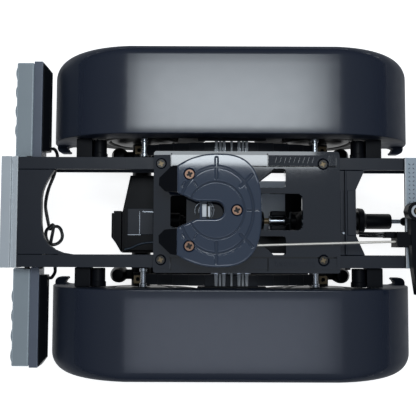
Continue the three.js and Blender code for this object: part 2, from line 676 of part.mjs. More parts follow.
// A dual rim: a barrel, a disc towards its outer end and a long hub.
function rim(side, x) {
  const bore = SHAFT_R + GAP;
  const inner = RIM_R - RIM_WALL;
  const profile = [
    [RIM_R, 0], [RIM_R, RIM_WIDTH], [inner, RIM_WIDTH], [inner, 30], [8, 30], [8, 34], [bore, 34],
    [bore, 18], [8, 18], [8, 27], [inner, 27], [inner, 0], [RIM_R, 0],
  ];
  return turned(profile.map(([r, t]) => [r, side * (WHEEL_IN + t)]), 'y', [x, 0, AXLE_Z], 20);
}
for (const [end, sign] of ENDS) {
  const x = sign * AXLE_X;
  place(`${end}_axle_shaft`, rod('y', SHAFT_R, -SHAFT_HALF, SHAFT_HALF, x, AXLE_Z), steel);
  for (const [name, side] of SIDES) {
    place(`${end}_${name}_rim`, rim(side, x), pale);
    const inner = side * (WHEEL_IN + TYRE_W / 2 + 1);
    const outer = side * (WHEEL_OUT - TYRE_W / 2);
    place(`${end}_${name}_inner_tyre`, tyreSolid(x, inner), tyre);
    place(`${end}_${name}_outer_tyre`, tyreSolid(x, outer), tyre);
  }
}

export default truck;
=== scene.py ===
"""Looks of the model truck chassis section: detailed pieces, materials, studio and camera."""
import json
import math

import bmesh
import bpy
from mathutils import Matrix, Vector


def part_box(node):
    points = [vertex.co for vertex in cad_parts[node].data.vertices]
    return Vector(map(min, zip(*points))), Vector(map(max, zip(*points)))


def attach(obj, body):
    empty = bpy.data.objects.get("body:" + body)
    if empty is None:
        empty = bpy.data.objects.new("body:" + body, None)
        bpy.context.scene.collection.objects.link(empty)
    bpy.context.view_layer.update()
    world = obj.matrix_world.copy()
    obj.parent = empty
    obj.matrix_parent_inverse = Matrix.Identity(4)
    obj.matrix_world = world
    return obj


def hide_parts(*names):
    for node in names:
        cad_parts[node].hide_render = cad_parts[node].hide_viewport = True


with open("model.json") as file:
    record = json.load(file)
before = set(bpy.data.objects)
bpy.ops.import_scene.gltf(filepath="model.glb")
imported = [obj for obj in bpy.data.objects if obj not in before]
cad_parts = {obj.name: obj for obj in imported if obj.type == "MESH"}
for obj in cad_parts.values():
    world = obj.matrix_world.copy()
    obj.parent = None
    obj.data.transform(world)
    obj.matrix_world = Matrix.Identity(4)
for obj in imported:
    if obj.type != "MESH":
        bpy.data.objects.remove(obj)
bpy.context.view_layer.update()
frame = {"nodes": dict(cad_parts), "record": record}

MM = 0.001
RECORD = frame["record"]
SLOT_OF = {row["node"]: row["material_slot"] for row in RECORD["subparts"]}
BODY_OF = {node: body for body, nodes in RECORD["behaviour"]["bodies"].items() for node in nodes}
SIDES = (("left", 1), ("right", -1))
ENDS = (("rear", -1), ("front", 1))

# ---- Sizes that the pieces share with the CAD, in millimetres
AXLE_X, AXLE_Z = 56, 41.5
SHAFT_Y, SHAFT_Z = -3.5, 42
FENDER_IN, FENDER_OUT, FENDER_R, FENDER_LOW = 43.2, 94.3, 51, 40
FENDER_X = 58.7
PLATE_X, PLATE_TOP, PLATE_EDGE, PLATE_HALF, PLATE_REAR = -9.5, 104.4, 97.4, 30.5, -30.6
SLOT_HALF = 4.65
BASE_TOP = 88
RAIL_TOP, RAIL_HALF = 81, 31.5
SPRING_Y, SPRING_W, SPRING_HALF, SPRING_Z, LEAF = 39.8, 6.6, 54, 57, 1.6


# ---- Materials
MATERIALS, SLOTS = {}, {}


def linear(code):
    """A colour written as six hex digits, as linear red, green and blue."""
    values = [int(code[i:i + 2], 16) / 255 for i in (0, 2, 4)]
    return tuple(v / 12.92 if v < 0.04045 else ((v + 0.055) / 1.055) ** 2.4 for v in values)


def add_node(tree, kind, output, inputs, **settings):
    """Adds a node whose inputs are values or other nodes' outputs, and returns one of its own outputs."""
    node = tree.nodes.new(kind)
    for setting, value in settings.items():
        setattr(node, setting, value)
    for socket, value in inputs.items():
        if isinstance(value, bpy.types.NodeSocket):
            tree.links.new(value, node.inputs[socket])
        else:
            node.inputs[socket].default_value = value
    return node.outputs[output]


def surface(name, color, roughness, metallic=0.0, specular=0.5, vary=0.12, spots=60.0, grain=900.0,
            depth=0.02, rubbed_and_lit=0.35, stretch=(1, 1, 1)):
    """A moulded, painted or turned surface: uneven colour and gloss, paler edges for wear and painted
    highlight, and a fine grain.

    vary and spots are the swing and the scale of the colour's patches, grain and depth the scale and the
    height in millimetres of the bump, rubbed_and_lit is how much paler edges are, for wear and painted
    highlight, and stretch scales all of it by axis.
    """
    rub_and_sheen_patches, gloss_patches, gloss_swing, least_roughness, rub_and_sheen_floor = 6, 2.7, 0.15, 0.02, 0.03
    soft, medium, fine = 3.0, 4.0, 5.0
    material = bpy.data.materials.new(name)
    material.use_nodes = True
    tree = material.node_tree
    shader = tree.nodes["Principled BSDF"]
    shader.inputs["Metallic"].default_value = metallic
    shader.inputs["Specular IOR Level"].default_value = specular
    place = add_node(tree, "ShaderNodeTexCoord", "Object", {})
    place = add_node(tree, "ShaderNodeMapping", "Vector", {"Vector": place, "Scale": stretch})

    def noise(size, detail):
        return add_node(tree, "ShaderNodeTexNoise", "Fac", {"Vector": place, "Scale": size, "Detail": detail})

    def blend(factor, first, second):
        inputs = {"Factor": factor, "A": first, "B": second}
        return add_node(tree, "ShaderNodeMix", "Result", inputs, data_type="RGBA")

    darker = (*(c * (1 - vary) for c in color), 1)
    lighter = (*(min(1, c * (1 + vary)) for c in color), 1)
    # Edges are mixed towards this paler colour, partly as wear and partly as a painted highlight.
    bare_and_lit = (*(min(1, c * (1 + 2 * rubbed_and_lit) + rub_and_sheen_floor * rubbed_and_lit) for c in color), 1)
    edge = add_node(tree, "ShaderNodeAttribute", "Fac", {}, attribute_name="edge_rub_and_sheen")
    rub_and_sheen = {0: edge, 1: noise(spots * rub_and_sheen_patches, soft)}
    patchy = add_node(tree, "ShaderNodeMath", "Value", rub_and_sheen, operation="MULTIPLY")
    tint = blend(noise(spots, medium), darker, lighter)
    gloss = {"Value": noise(spots * gloss_patches, fine),
             "To Min": max(least_roughness, roughness * (1 - gloss_swing)),
             "To Max": min(1, roughness * (1 + gloss_swing))}
    bump = {"Height": noise(grain, soft), "Distance": depth * MM}
    for socket, value in (("Base Color", blend(patchy, tint, bare_and_lit)),
                          ("Roughness", add_node(tree, "ShaderNodeMapRange", "Result", gloss)),
                          ("Normal", add_node(tree, "ShaderNodeBump", "Normal", bump))):
        tree.links.new(value, shader.inputs[socket])
    return material


def look(name, code, roughness, metallic=0.0, slot=None, **rest):
    """Makes the surface of that name; an extra look belongs to one of the record's material slots."""
    MATERIALS[name] = surface(name, linear(code), roughness, metallic, **rest)
    SLOTS[name] = slot or name


# The record's own material slots.
look("frame_charcoal", "1c212b", 0.42, specular=0.3, grain=1500, depth=0.012)
look("coupling_black", "28374d", 0.06, specular=1.0, vary=0.05, depth=0.001)
look("fender_shell", "1b2334", 0.18, specular=0.6, vary=0.04, grain=2400, depth=0.002)
look("black_plastic", "0c0e13", 0.4, specular=0.1, grain=1800, depth=0.01)
look("axle_black", "0a0b0f", 0.38, specular=0.12, grain=1100, depth=0.015)
look("bright_steel", "a9aeb5", 0.25, 1.0, stretch=(1, 6, 6), depth=0.003)
look("tyre", "141517", 0.8, vary=0.2, grain=1300, depth=0.03)
look("wheel_grey", "8d9298", 0.32, 0.9, depth=0.005)
look("lamp_lens", "9aa4aa", 0.35, vary=0.05, spots=120, depth=0.004)
look("pale_plate", "c6ccd1", 0.45, vary=0.05, depth=0.006)
look("lead_black", "0e1014", 0.3, depth=0.004)
# Extra looks, each noted with one of the record's material slots.
# Painted shade: a dull copy of the fender's paint for its steep faces and its hooks.
look("fender_shade_copy", "222937", 0.6, 0.0, "fender_shell", specular=0.12, vary=0.05, depth=0.006)
look("base_black", "141b27", 0.06, 0.0, "coupling_black", specular=0.9, vary=0.05, depth=0.001)
look("lamp_body", "606775", 0.42, 0.0, "frame_charcoal", depth=0.006)
# Painted light: a pale grey for the part of the guard plate seen through the window.
look("guard_painted_light", "cdd5df", 0.5, 0.0, "frame_charcoal", depth=0.01)
look("link_black", "0c0e12", 0.35, 0.0, "frame_charcoal", specular=0.3, depth=0.004)
look("deck_grey", "aab7c1", 0.42, 0.0, "pale_plate", depth=0.006)
look("wire_blue", "1f3040", 0.35, 0.0, "lead_black", depth=0.004)
look("screw_recess", "0b0b0c", 0.6, 0.0, "bright_steel", depth=0.004)
look("screw_bronze", "846654", 0.36, 0.6, "bright_steel", depth=0.006)
look("screw_dark", "24211e", 0.35, 0.3, "bright_steel", depth=0.006)
look("bush_brass", "75664e", 0.4, 0.6, "bright_steel", depth=0.006)
look("washer_white", "c3c7cb", 0.35, 0.2, "bright_steel", depth=0.004)
look("rod_chrome", "efe9df", 0.42, 0.5, "bright_steel", depth=0.003)


# ---- Mesh tools
def new_object(mesh):
    piece = bpy.data.objects.new("shape", mesh)
    bpy.context.scene.collection.objects.link(piece)
    return piece


def solid(points, faces):
    """A mesh object from points in millimetres, with its faces turned outwards."""
    mesh = bpy.data.meshes.new("shape")
    mesh.from_pydata([Vector(p) * MM for p in points], [], faces)
    work = bmesh.new()
    work.from_mesh(mesh)
    bmesh.ops.recalc_face_normals(work, faces=work.faces)
    work.to_mesh(mesh)
    work.free()
    return new_object(mesh)


def apply(piece):
    """Makes the piece's modifiers part of its mesh."""
    bpy.context.view_layer.update()
    seen = piece.evaluated_get(bpy.context.evaluated_depsgraph_get())
    mesh = bpy.data.meshes.new_from_object(seen)
    piece.modifiers.clear()
    piece.data = mesh
    return piece


def smooth(piece, angle=35):
    """Shades the piece smooth, apart from edges sharper than the angle."""
    piece.data.polygons.foreach_set("use_smooth", [True] * len(piece.data.polygons))
    piece.data.set_sharp_from_angle(angle=math.radians(angle))
    return piece


def rounded(piece, width, segments=2, angle=35):
    """Rounds edges sharper than the angle, shades flat faces flat, and marks the new faces for wear and
    painted highlight.
    """
    same_place, flat, bevel_faces = 1e-6, math.radians(1), 1
    work = bmesh.new()
    work.from_mesh(piece.data)
    bmesh.ops.remove_doubles(work, verts=work.verts, dist=same_place)
    bmesh.ops.dissolve_limit(work, angle_limit=flat, verts=work.verts, edges=work.edges)
    work.to_mesh(piece.data)
    work.free()
    bevel = piece.modifiers.new("edge", "BEVEL")
    bevel.width = width * MM
    bevel.segments = segments
    bevel.limit_method = "ANGLE"
    bevel.angle_limit = math.radians(angle)
    bevel.use_clamp_overlap = True
    even = piece.modifiers.new("even", "WEIGHTED_NORMAL")
    even.mode = "FACE_AREA"
    even.weight = 90
    piece.data.polygons.foreach_set("use_smooth", [True] * len(piece.data.polygons))
    # The bevel gives its faces the second of two empty materials, which tells them from the others.
    for _ in range(2):
        piece.data.materials.append(None)
    bevel.material = bevel_faces
    apply(piece)
    count = len(piece.data.polygons)
    chosen = [0] * count
    piece.data.polygons.foreach_get("material_index", chosen)
    rub_and_sheen = piece.data.attributes.get("edge_rub_and_sheen") or piece.data.attributes.new("edge_rub_and_sheen", "FLOAT", "FACE")
    rub_and_sheen.data.foreach_set("value", [float(index == bevel_faces) for index in chosen])
    piece.data.polygons.foreach_set("material_index", [0] * count)
    piece.data.materials.clear()
    return piece


def carve(piece, cutter, operation="DIFFERENCE"):
    """Takes the cutter away from the piece, joins it on, or keeps what both share."""
    change = piece.modifiers.new("carve", "BOOLEAN")
    change.operation = operation
    change.solver = "EXACT"
    change.object = cutter
    apply(piece)
    bpy.data.objects.remove(cutter)
    return piece


def joined(pieces):
    """One object from several, each still a closed shell with its own material."""
    work = bmesh.new()
    materials = []
    for piece in pieces:
        first = len(work.faces)
        mesh = piece.data
        mesh.transform(piece.matrix_world)
        offsets = []
        for slot_material in mesh.materials:
            if slot_material not in materials:
                materials.append(slot_material)
            offsets.append(materials.index(slot_material))
        work.from_mesh(mesh)
        work.faces.ensure_lookup_table()
        for face in work.faces[first:]:
            face.material_index = offsets[face.material_index] if offsets else 0
    mesh = bpy.data.meshes.new("shape")
    work.to_mesh(mesh)
    work.free()
    for slot_material in materials:
        mesh.materials.append(slot_material)
    for piece in pieces:
        bpy.data.objects.remove(piece)
    return new_object(mesh)


def lofted(rings):
    """A solid through closed rings of points, all of one length, with flat ends."""
    n, last = len(rings[0]), len(rings) - 1
    points = [point for ring in rings for point in ring]
    faces = [tuple(range(n)), tuple(range(last * n, len(points)))]
    faces += [(i * n + k, i * n + (k + 1) % n, (i + 1) * n + (k + 1) % n, (i + 1) * n + k)
              for i in range(last) for k in range(n)]
    return solid(points, faces)


def ordered(axis, u, v, t):
    """Two cross directions and a place along the axis, as X, Y and Z."""
    return {"x": (t, u, v), "y": (u, t, v), "z": (u, v, t)}[axis]


def prism(outline, axis, low, high):
    """An outline in (Y,Z), (X,Z) or (X,Y) pushed along x, y or z."""
    return lofted([[ordered(axis, u, v, t) for u, v in outline] for t in (low, high)])


def block(x, y, z):
    """A box from its ranges of X, Y and Z."""
    return prism([(x[0], y[0]), (x[1], y[0]), (x[1], y[1]), (x[0], y[1])], "z", *z)


def turned(profile, axis, centre, steps=48, squeeze=1.0):
    """A profile of (radius, place along the axis) turned about a line; it closes on itself or on the axis."""
    on_axis = 1e-6
    points, rings = [], []
    for radius, t in profile:
        if radius < on_axis:
            rings.append([len(points)])
            points.append(ordered(axis, 0, 0, t))
            continue
        rings.append(list(range(len(points), len(points) + steps)))
        for k in range(steps):
            angle = math.tau * k / steps
            points.append(ordered(axis, radius * math.cos(angle) * squeeze, radius * math.sin(angle), t))
    points = [tuple(c + p for c, p in zip(centre, point)) for point in points]
    closed = len(rings[0]) > 1
    pairs = list(zip(rings, rings[1:])) + ([(rings[-1], rings[0])] if closed else [])
    faces = []
    for first, second in pairs:
        for k in range(steps):
            a, b = first[k % len(first)], first[(k + 1) % steps % len(first)]
            c, d = second[(k + 1) % steps % len(second)], second[k % len(second)]
            corners = tuple(dict.fromkeys((a, b, c, d)))
            if len(corners) > 2:
                faces.append(corners)
    return solid(points, faces)


def pillar(radius, low, high):
    """The profile of a plain round bar."""
    return [(0, low), (radius, low), (radius, high), (0, high)]


def stacked(layers):
    """A solid through outlines in X and Y of equal length, each with its height, from the bottom up."""
    return lofted([[(x, y, z) for x, y in outline] for outline, z in layers])


def bar(axis, radius, low, high, centre, steps=32):
    """A round bar whose ends have a small chamfer; centre holds the line's place."""
    edge = min(0.3, radius * 0.25)
    profile = [(0, low), (radius - edge, low), (radius, low + edge), (radius, high - edge),
               (radius - edge, high), (0, high)]
    return smooth(turned(profile, axis, centre, steps))


def frames_along(path):
    """Each point of a path with two directions square to it, which don't twist."""
    frames, side = [], None
    for i, point in enumerate(path):
        ahead = (path[min(i + 1, len(path) - 1)] - path[max(i - 1, 0)]).normalized()
        side = ahead.orthogonal() if side is None else side
        side = (side - ahead * side.dot(ahead)).normalized()
        frames.append((point, side, ahead.cross(side)))
    return frames


def beside(frame_at, angle, distance):
    """The point at an angle and a distance from one point of a path."""
    point, side, up = frame_at
    return point + (side * math.cos(angle) + up * math.sin(angle)) * distance


def tube(path, radius, sides=12):
    """A round tube along smooth points, with flat ends."""
    rings = [[beside(frame_at, math.tau * k / sides, radius) for k in range(sides)]
             for frame_at in frames_along(path)]
    return smooth(lofted(rings), 60)


def through(points, steps):
    """Smooth points along a Catmull-Rom curve."""
    knots = [Vector(p) for p in points]
    knots = [knots[0] * 2 - knots[1]] + knots + [knots[-1] * 2 - knots[-2]]
    path = []
    for i in range(1, len(knots) - 2):
        a, b, c, d = knots[i - 1:i + 3]
        for k in range(steps):
            t = k / steps
            path.append(0.5 * (2 * b + (c - a) * t + (2 * a - 5 * b + 4 * c - d) * t ** 2
                               + (3 * b - a - 3 * c + d) * t ** 3))
    return path + [knots[-2]]


def circle(u, v, radius, steps=32, start=0.0, sweep=math.tau):
    """Points of a circle, or of an arc from start through sweep with both its ends."""
    count = steps if sweep == math.tau else steps + 1
    angles = [start + sweep * k / steps for k in range(count)]
    return [(u + radius * math.cos(angle), v + radius * math.sin(angle)) for angle in angles]


def placed(points, angle, x, y):
    """Points turned by an angle and moved to (x, y)."""
    c, s = math.cos(angle), math.sin(angle)
    return [(x + u * c - v * s, y + u * s + v * c) for u, v in points]


def span(side, inner, outer):
    """The range of Y between two distances from the centre plane, on one side of it."""
    return sorted((side * inner, side * outer))


def rounded_outline(x, y, r, steps=6):
    """A rectangle with round corners."""
    quarter = math.pi / 2
    corners = ((x[1] - r, y[1] - r), (x[0] + r, y[1] - r), (x[0] + r, y[0] + r), (x[1] - r, y[0] + r))
    return [p for q, (u, v) in enumerate(corners) for p in circle(u, v, r, steps, q * quarter, quarter)]


def painted(piece, *names):
    """Gives the piece its looks; every face has the first."""
    piece.data.materials.clear()
    for name in names:
        piece.data.materials.append(MATERIALS[name])
    return piece


def two_tone(piece, first, second, chosen):
    """Gives the piece the first look, and the faces that the test picks the second."""
    painted(piece, first, second)
    for face in piece.data.polygons:
        face.material_index = int(chosen(face))
    return piece


def finish_piece(name, piece, body, look_name, *nodes):
    """Names the piece and lets it ride on its body; one that isn't painted yet takes the look."""
    piece.name = name
    if not piece.data.materials:
        painted(piece, look_name)
    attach(piece, body)
    if nodes:
        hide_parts(*nodes)


def stand_for(piece, node):
    """The piece replaces a CAD node and rides on its body; one that isn't painted yet takes the look of the
    node's slot.
    """
    finish_piece(node + "_shape", piece, BODY_OF[node], SLOT_OF[node], node)


def node_box(node):
    """The low and high corner of a CAD node, in millimetres."""
    return [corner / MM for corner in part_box(node)]


def node_copy(node):
    """A CAD node's own mesh as a new piece that isn't painted."""
    piece = new_object(frame["nodes"][node].data.copy())
    piece.data.materials.clear()
    return piece


# ---- Plain metalwork: the CAD's shape with rounded edges
ROUNDED_NODES = {
    "left_rail": 0.25, "right_rail": 0.25, "rear_crossmember": 0.35, "center_crossmember": 0.4,
    "cab_crossmember": 0.5, "rear_end_plate": 0.4,
    "left_lamp_housing": 0.4, "right_lamp_housing": 0.4, "left_lamp_bracket": 0.4, "right_lamp_bracket": 0.4,
    "release_block": 0.6, "gearbox_case": 0.6, "rear_axle_housing": 1.2, "front_axle_housing": 0.8,
    "rear_diff_cover": 1.4, "left_spring_saddle": 0.3, "right_spring_saddle": 0.3, "locking_jaw": 0.3,
    "front_diff_cover": 0.6,
}


def guard_light_and_shade(piece):
    """The guard plate is painted pale grey under the window as far as the shaft's joint, a painted pool of
    light, and black elsewhere as painted shade.
    """
    rear, front, right, top = 0, 37.7, -12.5, 21
    work = bmesh.new()
    work.from_mesh(piece.data)
    for place, across in (((rear, 0, 0), (1, 0, 0)), ((front, 0, 0), (1, 0, 0)), ((0, right, 0), (0, 1, 0))):
        everything = work.verts[:] + work.edges[:] + work.faces[:]
        bmesh.ops.bisect_plane(work, geom=everything, plane_co=Vector(place) * MM, plane_no=across)
    work.to_mesh(piece.data)
    work.free()

    def under_window(face):
        middle = face.center / MM
        return rear < middle.x < front and middle.y > right and middle.z < top

    two_tone(piece, "black_plastic", "guard_painted_light", under_window)


def rounded_copies():
    """The CAD's own shapes with rounded edges, in three steps where the rounding is wide."""
    small = 0.5
    for node, width in ROUNDED_NODES.items():
        piece = rounded(node_copy(node), width, 3 if width > small else 2)
        if "lamp_housing" in node:
            painted(piece, "lamp_body")
        if node == "locking_jaw":
            painted(piece, "coupling_black")
        # The guard plate gets painted light under the window and painted shade elsewhere.
        if node == "center_crossmember":
            guard_light_and_shade(piece)
        stand_for(piece, node)


# ---- Round bars
def round_bars():
    """Shafts and pins, each as thick and long as its CAD node."""
    for node, axis in (("trunnion_shaft", "y"), ("rear_axle_shaft", "y"), ("front_axle_shaft", "y"),
                       ("left_pivot_pin", "y"), ("right_pivot_pin", "y"), ("jaw_pin", "z")):
        low, high = node_box(node)
        middle = (low + high) / 2
        along = "xyz".index(axis)
        radius = min((high - low)[k] for k in range(3) if k != along) / 2
        centre = [0 if k == along else middle[k] for k in range(3)]
        stand_for(bar(axis, radius, low[along], high[along], centre), node)


# ---- Fenders
def fender_path(arc_steps=40, top_steps=16):
    """Places, outward normals and shoulder radii along the arch, from the front foot to the rear foot."""
    low_r, high_r = 11.5, 6.2
    front = [((FENDER_X + FENDER_R, FENDER_LOW), (1, 0), low_r)]
    for k in range(arc_steps + 1):
        a = math.pi / 2 * k / arc_steps
        c, s = math.cos(a), math.sin(a)
        place = (FENDER_X + FENDER_R * c, AXLE_Z + FENDER_R * s)
        front.append((place, (c, s), high_r + (low_r - high_r) * c))
    top = [((FENDER_X - 2 * FENDER_X * k / top_steps, AXLE_Z + FENDER_R), (0, 1), high_r)
           for k in range(1, top_steps)]
    return front + top + [((-x, z), (-nx, nz), r) for (x, z), (nx, nz), r in reversed(front)]


def fender_section(side, outer_r):
    """The skin's closed outline as (Y, depth under the outer surface), a U with rounded shoulders."""
    wall, lip, inner_r, bevel, edge, fillet = 1.8, 16, 0.7, 0.4, 0.3, 0.6
    y0, y1 = FENDER_IN, FENDER_OUT
    quarter, top_steps = math.pi / 2, 8
    flat = y1 - outer_r - y0 - inner_r
    outer = [(y0, lip - bevel), (y0, 9)]
    outer += circle(y0 + inner_r, inner_r, inner_r, 6, math.pi, quarter)
    outer += [(y0 + inner_r + flat * k / top_steps, 0) for k in range(1, top_steps)]
    outer += circle(y1 - outer_r, outer_r, outer_r, 12, -quarter, quarter)
    outer += [(y1, 13), (y1, lip - bevel), (y1 - bevel, lip)]
    outer += [(y1 - wall + edge, lip), (y1 - wall, lip - edge)]
    inner = circle(y1 - outer_r, outer_r, outer_r - wall, 12, 0, -quarter)
    inner += [(y0 + wall + fillet, wall), (y0 + wall, wall + fillet), (y0 + wall, lip - edge)]
    inner += [(y0 + wall - edge, lip), (y0 + bevel, lip)]
    return [(side * y, depth) for y, depth in outer + inner]


def shaded_sides(piece):
    """The steep and hidden faces of a fender take a dull, dark copy of its paint as painted shade, so that
    they reflect little.
    """
    steep = 0.82
    return two_tone(piece, "fender_shell", "fender_shade_copy", lambda face: face.normal.z < steep)


def fender_hook(side, end):
    """The flat hook that points along the rail from the inner wall's low end."""
    far = FENDER_X + FENDER_R
    root = FENDER_IN + 1.4
    tip = circle(far - 8.1, 39.5, 0.8, 6, math.pi / 2, math.pi)
    crook = circle(far - 4.2, 41.9, 3.2, 8, -math.pi / 2, math.pi / 2)
    outline = ([(far - 1, root)] + crook[::-1] + tip[::-1]
               + [(far - 6.9, 42.3), (far - 9, 43), (far - 12, FENDER_IN + 0.2), (far - 12, root)])
    hook = prism([(end * x, side * y) for x, y in outline], "z", FENDER_LOW, FENDER_LOW + 7)
    return rounded(hook, 0.6, 3, 40)


def fenders():
    """Each fender is one arched skin and two hooks."""
    for name, side in SIDES:
        rings = [[(x - depth * nx, y, z - depth * nz) for y, depth in fender_section(side, shoulder)]
                 for (x, z), (nx, nz), shoulder in fender_path()]
        skin = shaded_sides(smooth(lofted(rings), 50))
        # The hooks take the same painted shade as the fender's steep faces.
        hooks = [painted(fender_hook(side, sign), "fender_shade_copy") for _, sign in ENDS]
        stand_for(joined([skin, *hooks]), f"{name}_fender")


def fender_stays():
    """Box arms with a round boss and collar at their ends, and the pins that pass through the bosses."""
    boss_r, boss_z, arm_z, arm_long, collar_long = 4, 71.5, (66.5, 76), 9.2, 3
    pin_r, pin_head_r, pin_head_long = 1.5, 2.1, 2.4
    for name, side in SIDES:
        for end, sign in ENDS:
            node = f"{name}_{end}_fender_stay"
            low, high = node_box(node)
            outer = low.x if sign < 0 else high.x
            inner = outer - sign * arm_long
            arm = rounded(block(sorted((outer, inner)), (low.y, high.y), arm_z), 0.5, 3)
            centre = (inner - sign * (boss_r - 0.2), 0, boss_z)
            boss = bar("y", boss_r, low.y + 0.4, high.y - 0.4, centre, 40)
            collar = bar("y", boss_r + 0.5, low.y, low.y + collar_long, centre, 40)
            stand_for(joined([arm, boss, collar]), node)
            pin = f"{name}_{end}_stay_pin"
            low, high = node_box(pin)
            middle = (low + high) / 2
            centre = (middle.x, 0, middle.z)
            rod = bar("y", pin_r, low.y, high.y, centre)
            heads = [bar("y", pin_head_r, a, b, centre)
                     for a, b in ((low.y, low.y + pin_head_long), (high.y - pin_head_long, high.y))]
            stand_for(joined([rod, *heads]), pin)


# ---- Screws
def cross_screw(radius, top, centre, colour, inside="screw_recess"):
    """A countersunk head with a cross recess, flush with the surface at height top."""
    arm, half, tilt = radius * 0.62, radius * 0.21, 0.35
    foot, recess, above = top - 1.6, top - 0.9, top + 1
    place = (*centre, 0)
    profile = [(0, foot), (arm, foot), (radius - 0.15, top - 0.12), (radius - 0.3, top), (0, top)]
    head = turned(profile, "z", place, 40)
    for turn in (tilt, tilt + math.pi / 2):
        outline = placed([(-arm, -half), (arm, -half), (arm, half), (-arm, half)], turn, *centre)
        carve(head, prism(outline, "z", recess, above))
    well = [(0, recess), (half * 1.2, recess), (half * 2, top + 0.1), (half * 2, above), (0, above)]
    carve(head, turned(well, "z", place, 24))
    core = turned(pillar(arm, top - 0.95, top - 0.82), "z", place, 16)
    return joined([painted(smooth(head, 30), colour), painted(core, inside)])


def countersink(centre, low, top, cone_r, lip, steps):
    """The cutter of a screw's seat: a hole, a cone up to the lip, and a wider edge at height top."""
    hole_r, edge_r, above = 2.0, 3.4, top + 2
    profile = [(0, low), (hole_r, low), (cone_r, top - lip), (edge_r, top), (edge_r, above), (0, above)]
    return turned(profile, "z", (*centre, 0), steps)


# ---- Fifth wheel
def plate_outline(grow=0.0, front_steps=96, rear_steps=20):
    """The plate from above: a squarish oval in front, an ellipse behind, and a straight rear edge."""
    front, rear, wide = 24.3 + grow, 34 + grow, PLATE_HALF + grow
    back = PLATE_REAR - grow
    quarter = math.pi / 2
    last = math.acos((back - PLATE_X) / rear)
    power = 2 / 2.8
    points = []
    for k in range(front_steps + 1):
        a = -quarter + math.pi * k / front_steps
        c, s = abs(math.cos(a)) ** power, abs(math.sin(a)) ** power
        points.append((PLATE_X + front * c, math.copysign(wide * s, a)))
    angles = [quarter + (last - quarter) * k / rear_steps for k in range(1, rear_steps + 1)]
    left = [(PLATE_X + rear * math.cos(a), wide * math.sin(a)) for a in angles]
    return points + left + [(x, -y) for x, y in reversed(left)]


def slot_outline(grow=0.0):
    """The slot from above: a round nose, parallel sides, and a mouth that widens to the rear edge."""
    half, mouth = SLOT_HALF + grow, 2 * SLOT_HALF + grow
    far, throat = -60, -20
    nose = circle(PLATE_X - 0.5, 0, half, 24, -math.pi / 2, math.pi)
    return ([(far, -mouth), (PLATE_REAR, -mouth), (throat, -half)] + nose
            + [(throat, half), (PLATE_REAR, mouth), (far, mouth)])


def groove_side(width, floor, depth, steps=8):
    """One side of a groove as (distance from its middle, height): a smooth S, then a narrow slit."""
    slit = 0.7
    slope = [(width + (floor - width) * k / steps, -depth * (1 - math.cos(math.pi * k / steps)) / 2)
             for k in range(steps + 1)]
    return slope + [(floor, -depth - slit)]


def ring_groove(radius, width, floor, depth, flat):
    """The cutter of a round groove in the plate's top; flat squeezes it along X."""
    side = [(off, PLATE_TOP + z) for off, z in groove_side(width, floor, depth)]
    profile = [(radius + off, z) for off, z in side] + [(radius - off, z) for off, z in reversed(side)]
    profile += [(radius - width, PLATE_TOP + 1), (radius + width, PLATE_TOP + 1)]
    return turned(profile, "z", (PLATE_X, 0, 0), 128, flat)


def long_groove(centre, angle, near, far, width, floor, depth):
    """The cutter of a straight groove with round ends, pointing away from a centre."""
    quarter = math.pi / 2

    def outline(half):
        points = circle(far - width, 0, half, 10, -quarter, math.pi)
        points += circle(near + width, 0, half, 10, quarter, math.pi)
        return placed(points, angle, *centre)

    layers = [(outline(off), PLATE_TOP + z) for off, z in reversed(groove_side(width, floor, depth))]
    return stacked(layers + [(outline(width), PLATE_TOP + 1)])


PLATE_SCREWS = ((-23.9, 19.2), (-23.9, -19.2), (1.5, 0))
PIN_R, PIN_Z = 2.3, 93


def pin_hole():
    """The cutter of the holes that the pivot pins pass through."""
    return turned(pillar(PIN_R, -40, 40), "y", (PLATE_X, 0, PIN_Z), 32)


def plate_horn(side):
    """One of the two ramps behind the slot, which guide the trailer's pin in."""
    front, rear = -28, -41
    slope = [(front, PLATE_TOP - 0.4), (rear, PLATE_EDGE + 2.4), (rear, PLATE_EDGE), (front, PLATE_EDGE)]
    horn = [(front, 9.6), (-37.3, 10.4), (-40.6, 13.6), (-40.4, 17.6), (-34, 23.6), (front, 24.4)]
    ramp = prism(slope, "y", -40, 40)
    return carve(ramp, prism([(x, side * y) for x, y in horn], "z", 80, 120), "INTERSECT")


def plate_blank():
    """The plate with its slot, rounded rim, horns, pivot ears and hollow underside."""
    plate = prism(plate_outline(), "z", PLATE_EDGE, PLATE_TOP)
    carve(plate, prism(slot_outline(), "z", 80, PLATE_TOP + 1))
    plate = rounded(plate, 1.1, 6, 60)
    for _, side in SIDES:
        carve(plate, plate_horn(side), "UNION")
        ear = block((PLATE_X - 4.5, PLATE_X + 4.5), span(side, 22.6, 26.6), (89.5, 99))
        carve(plate, carve(ear, pin_hole()), "UNION")
    rim, wall = 3, 2.4
    pocket = prism(plate_outline(-rim), "z", PLATE_EDGE - 1, 101)
    carve(pocket, prism(slot_outline(wall), "z", PLATE_EDGE - 2, 102))
    for _, side in SIDES:
        ear_space = block((PLATE_X - 5, PLATE_X + 5), span(side, 22, 27.2), (90, 103))
        carve(pocket, ear_space)
    return carve(plate, pocket)


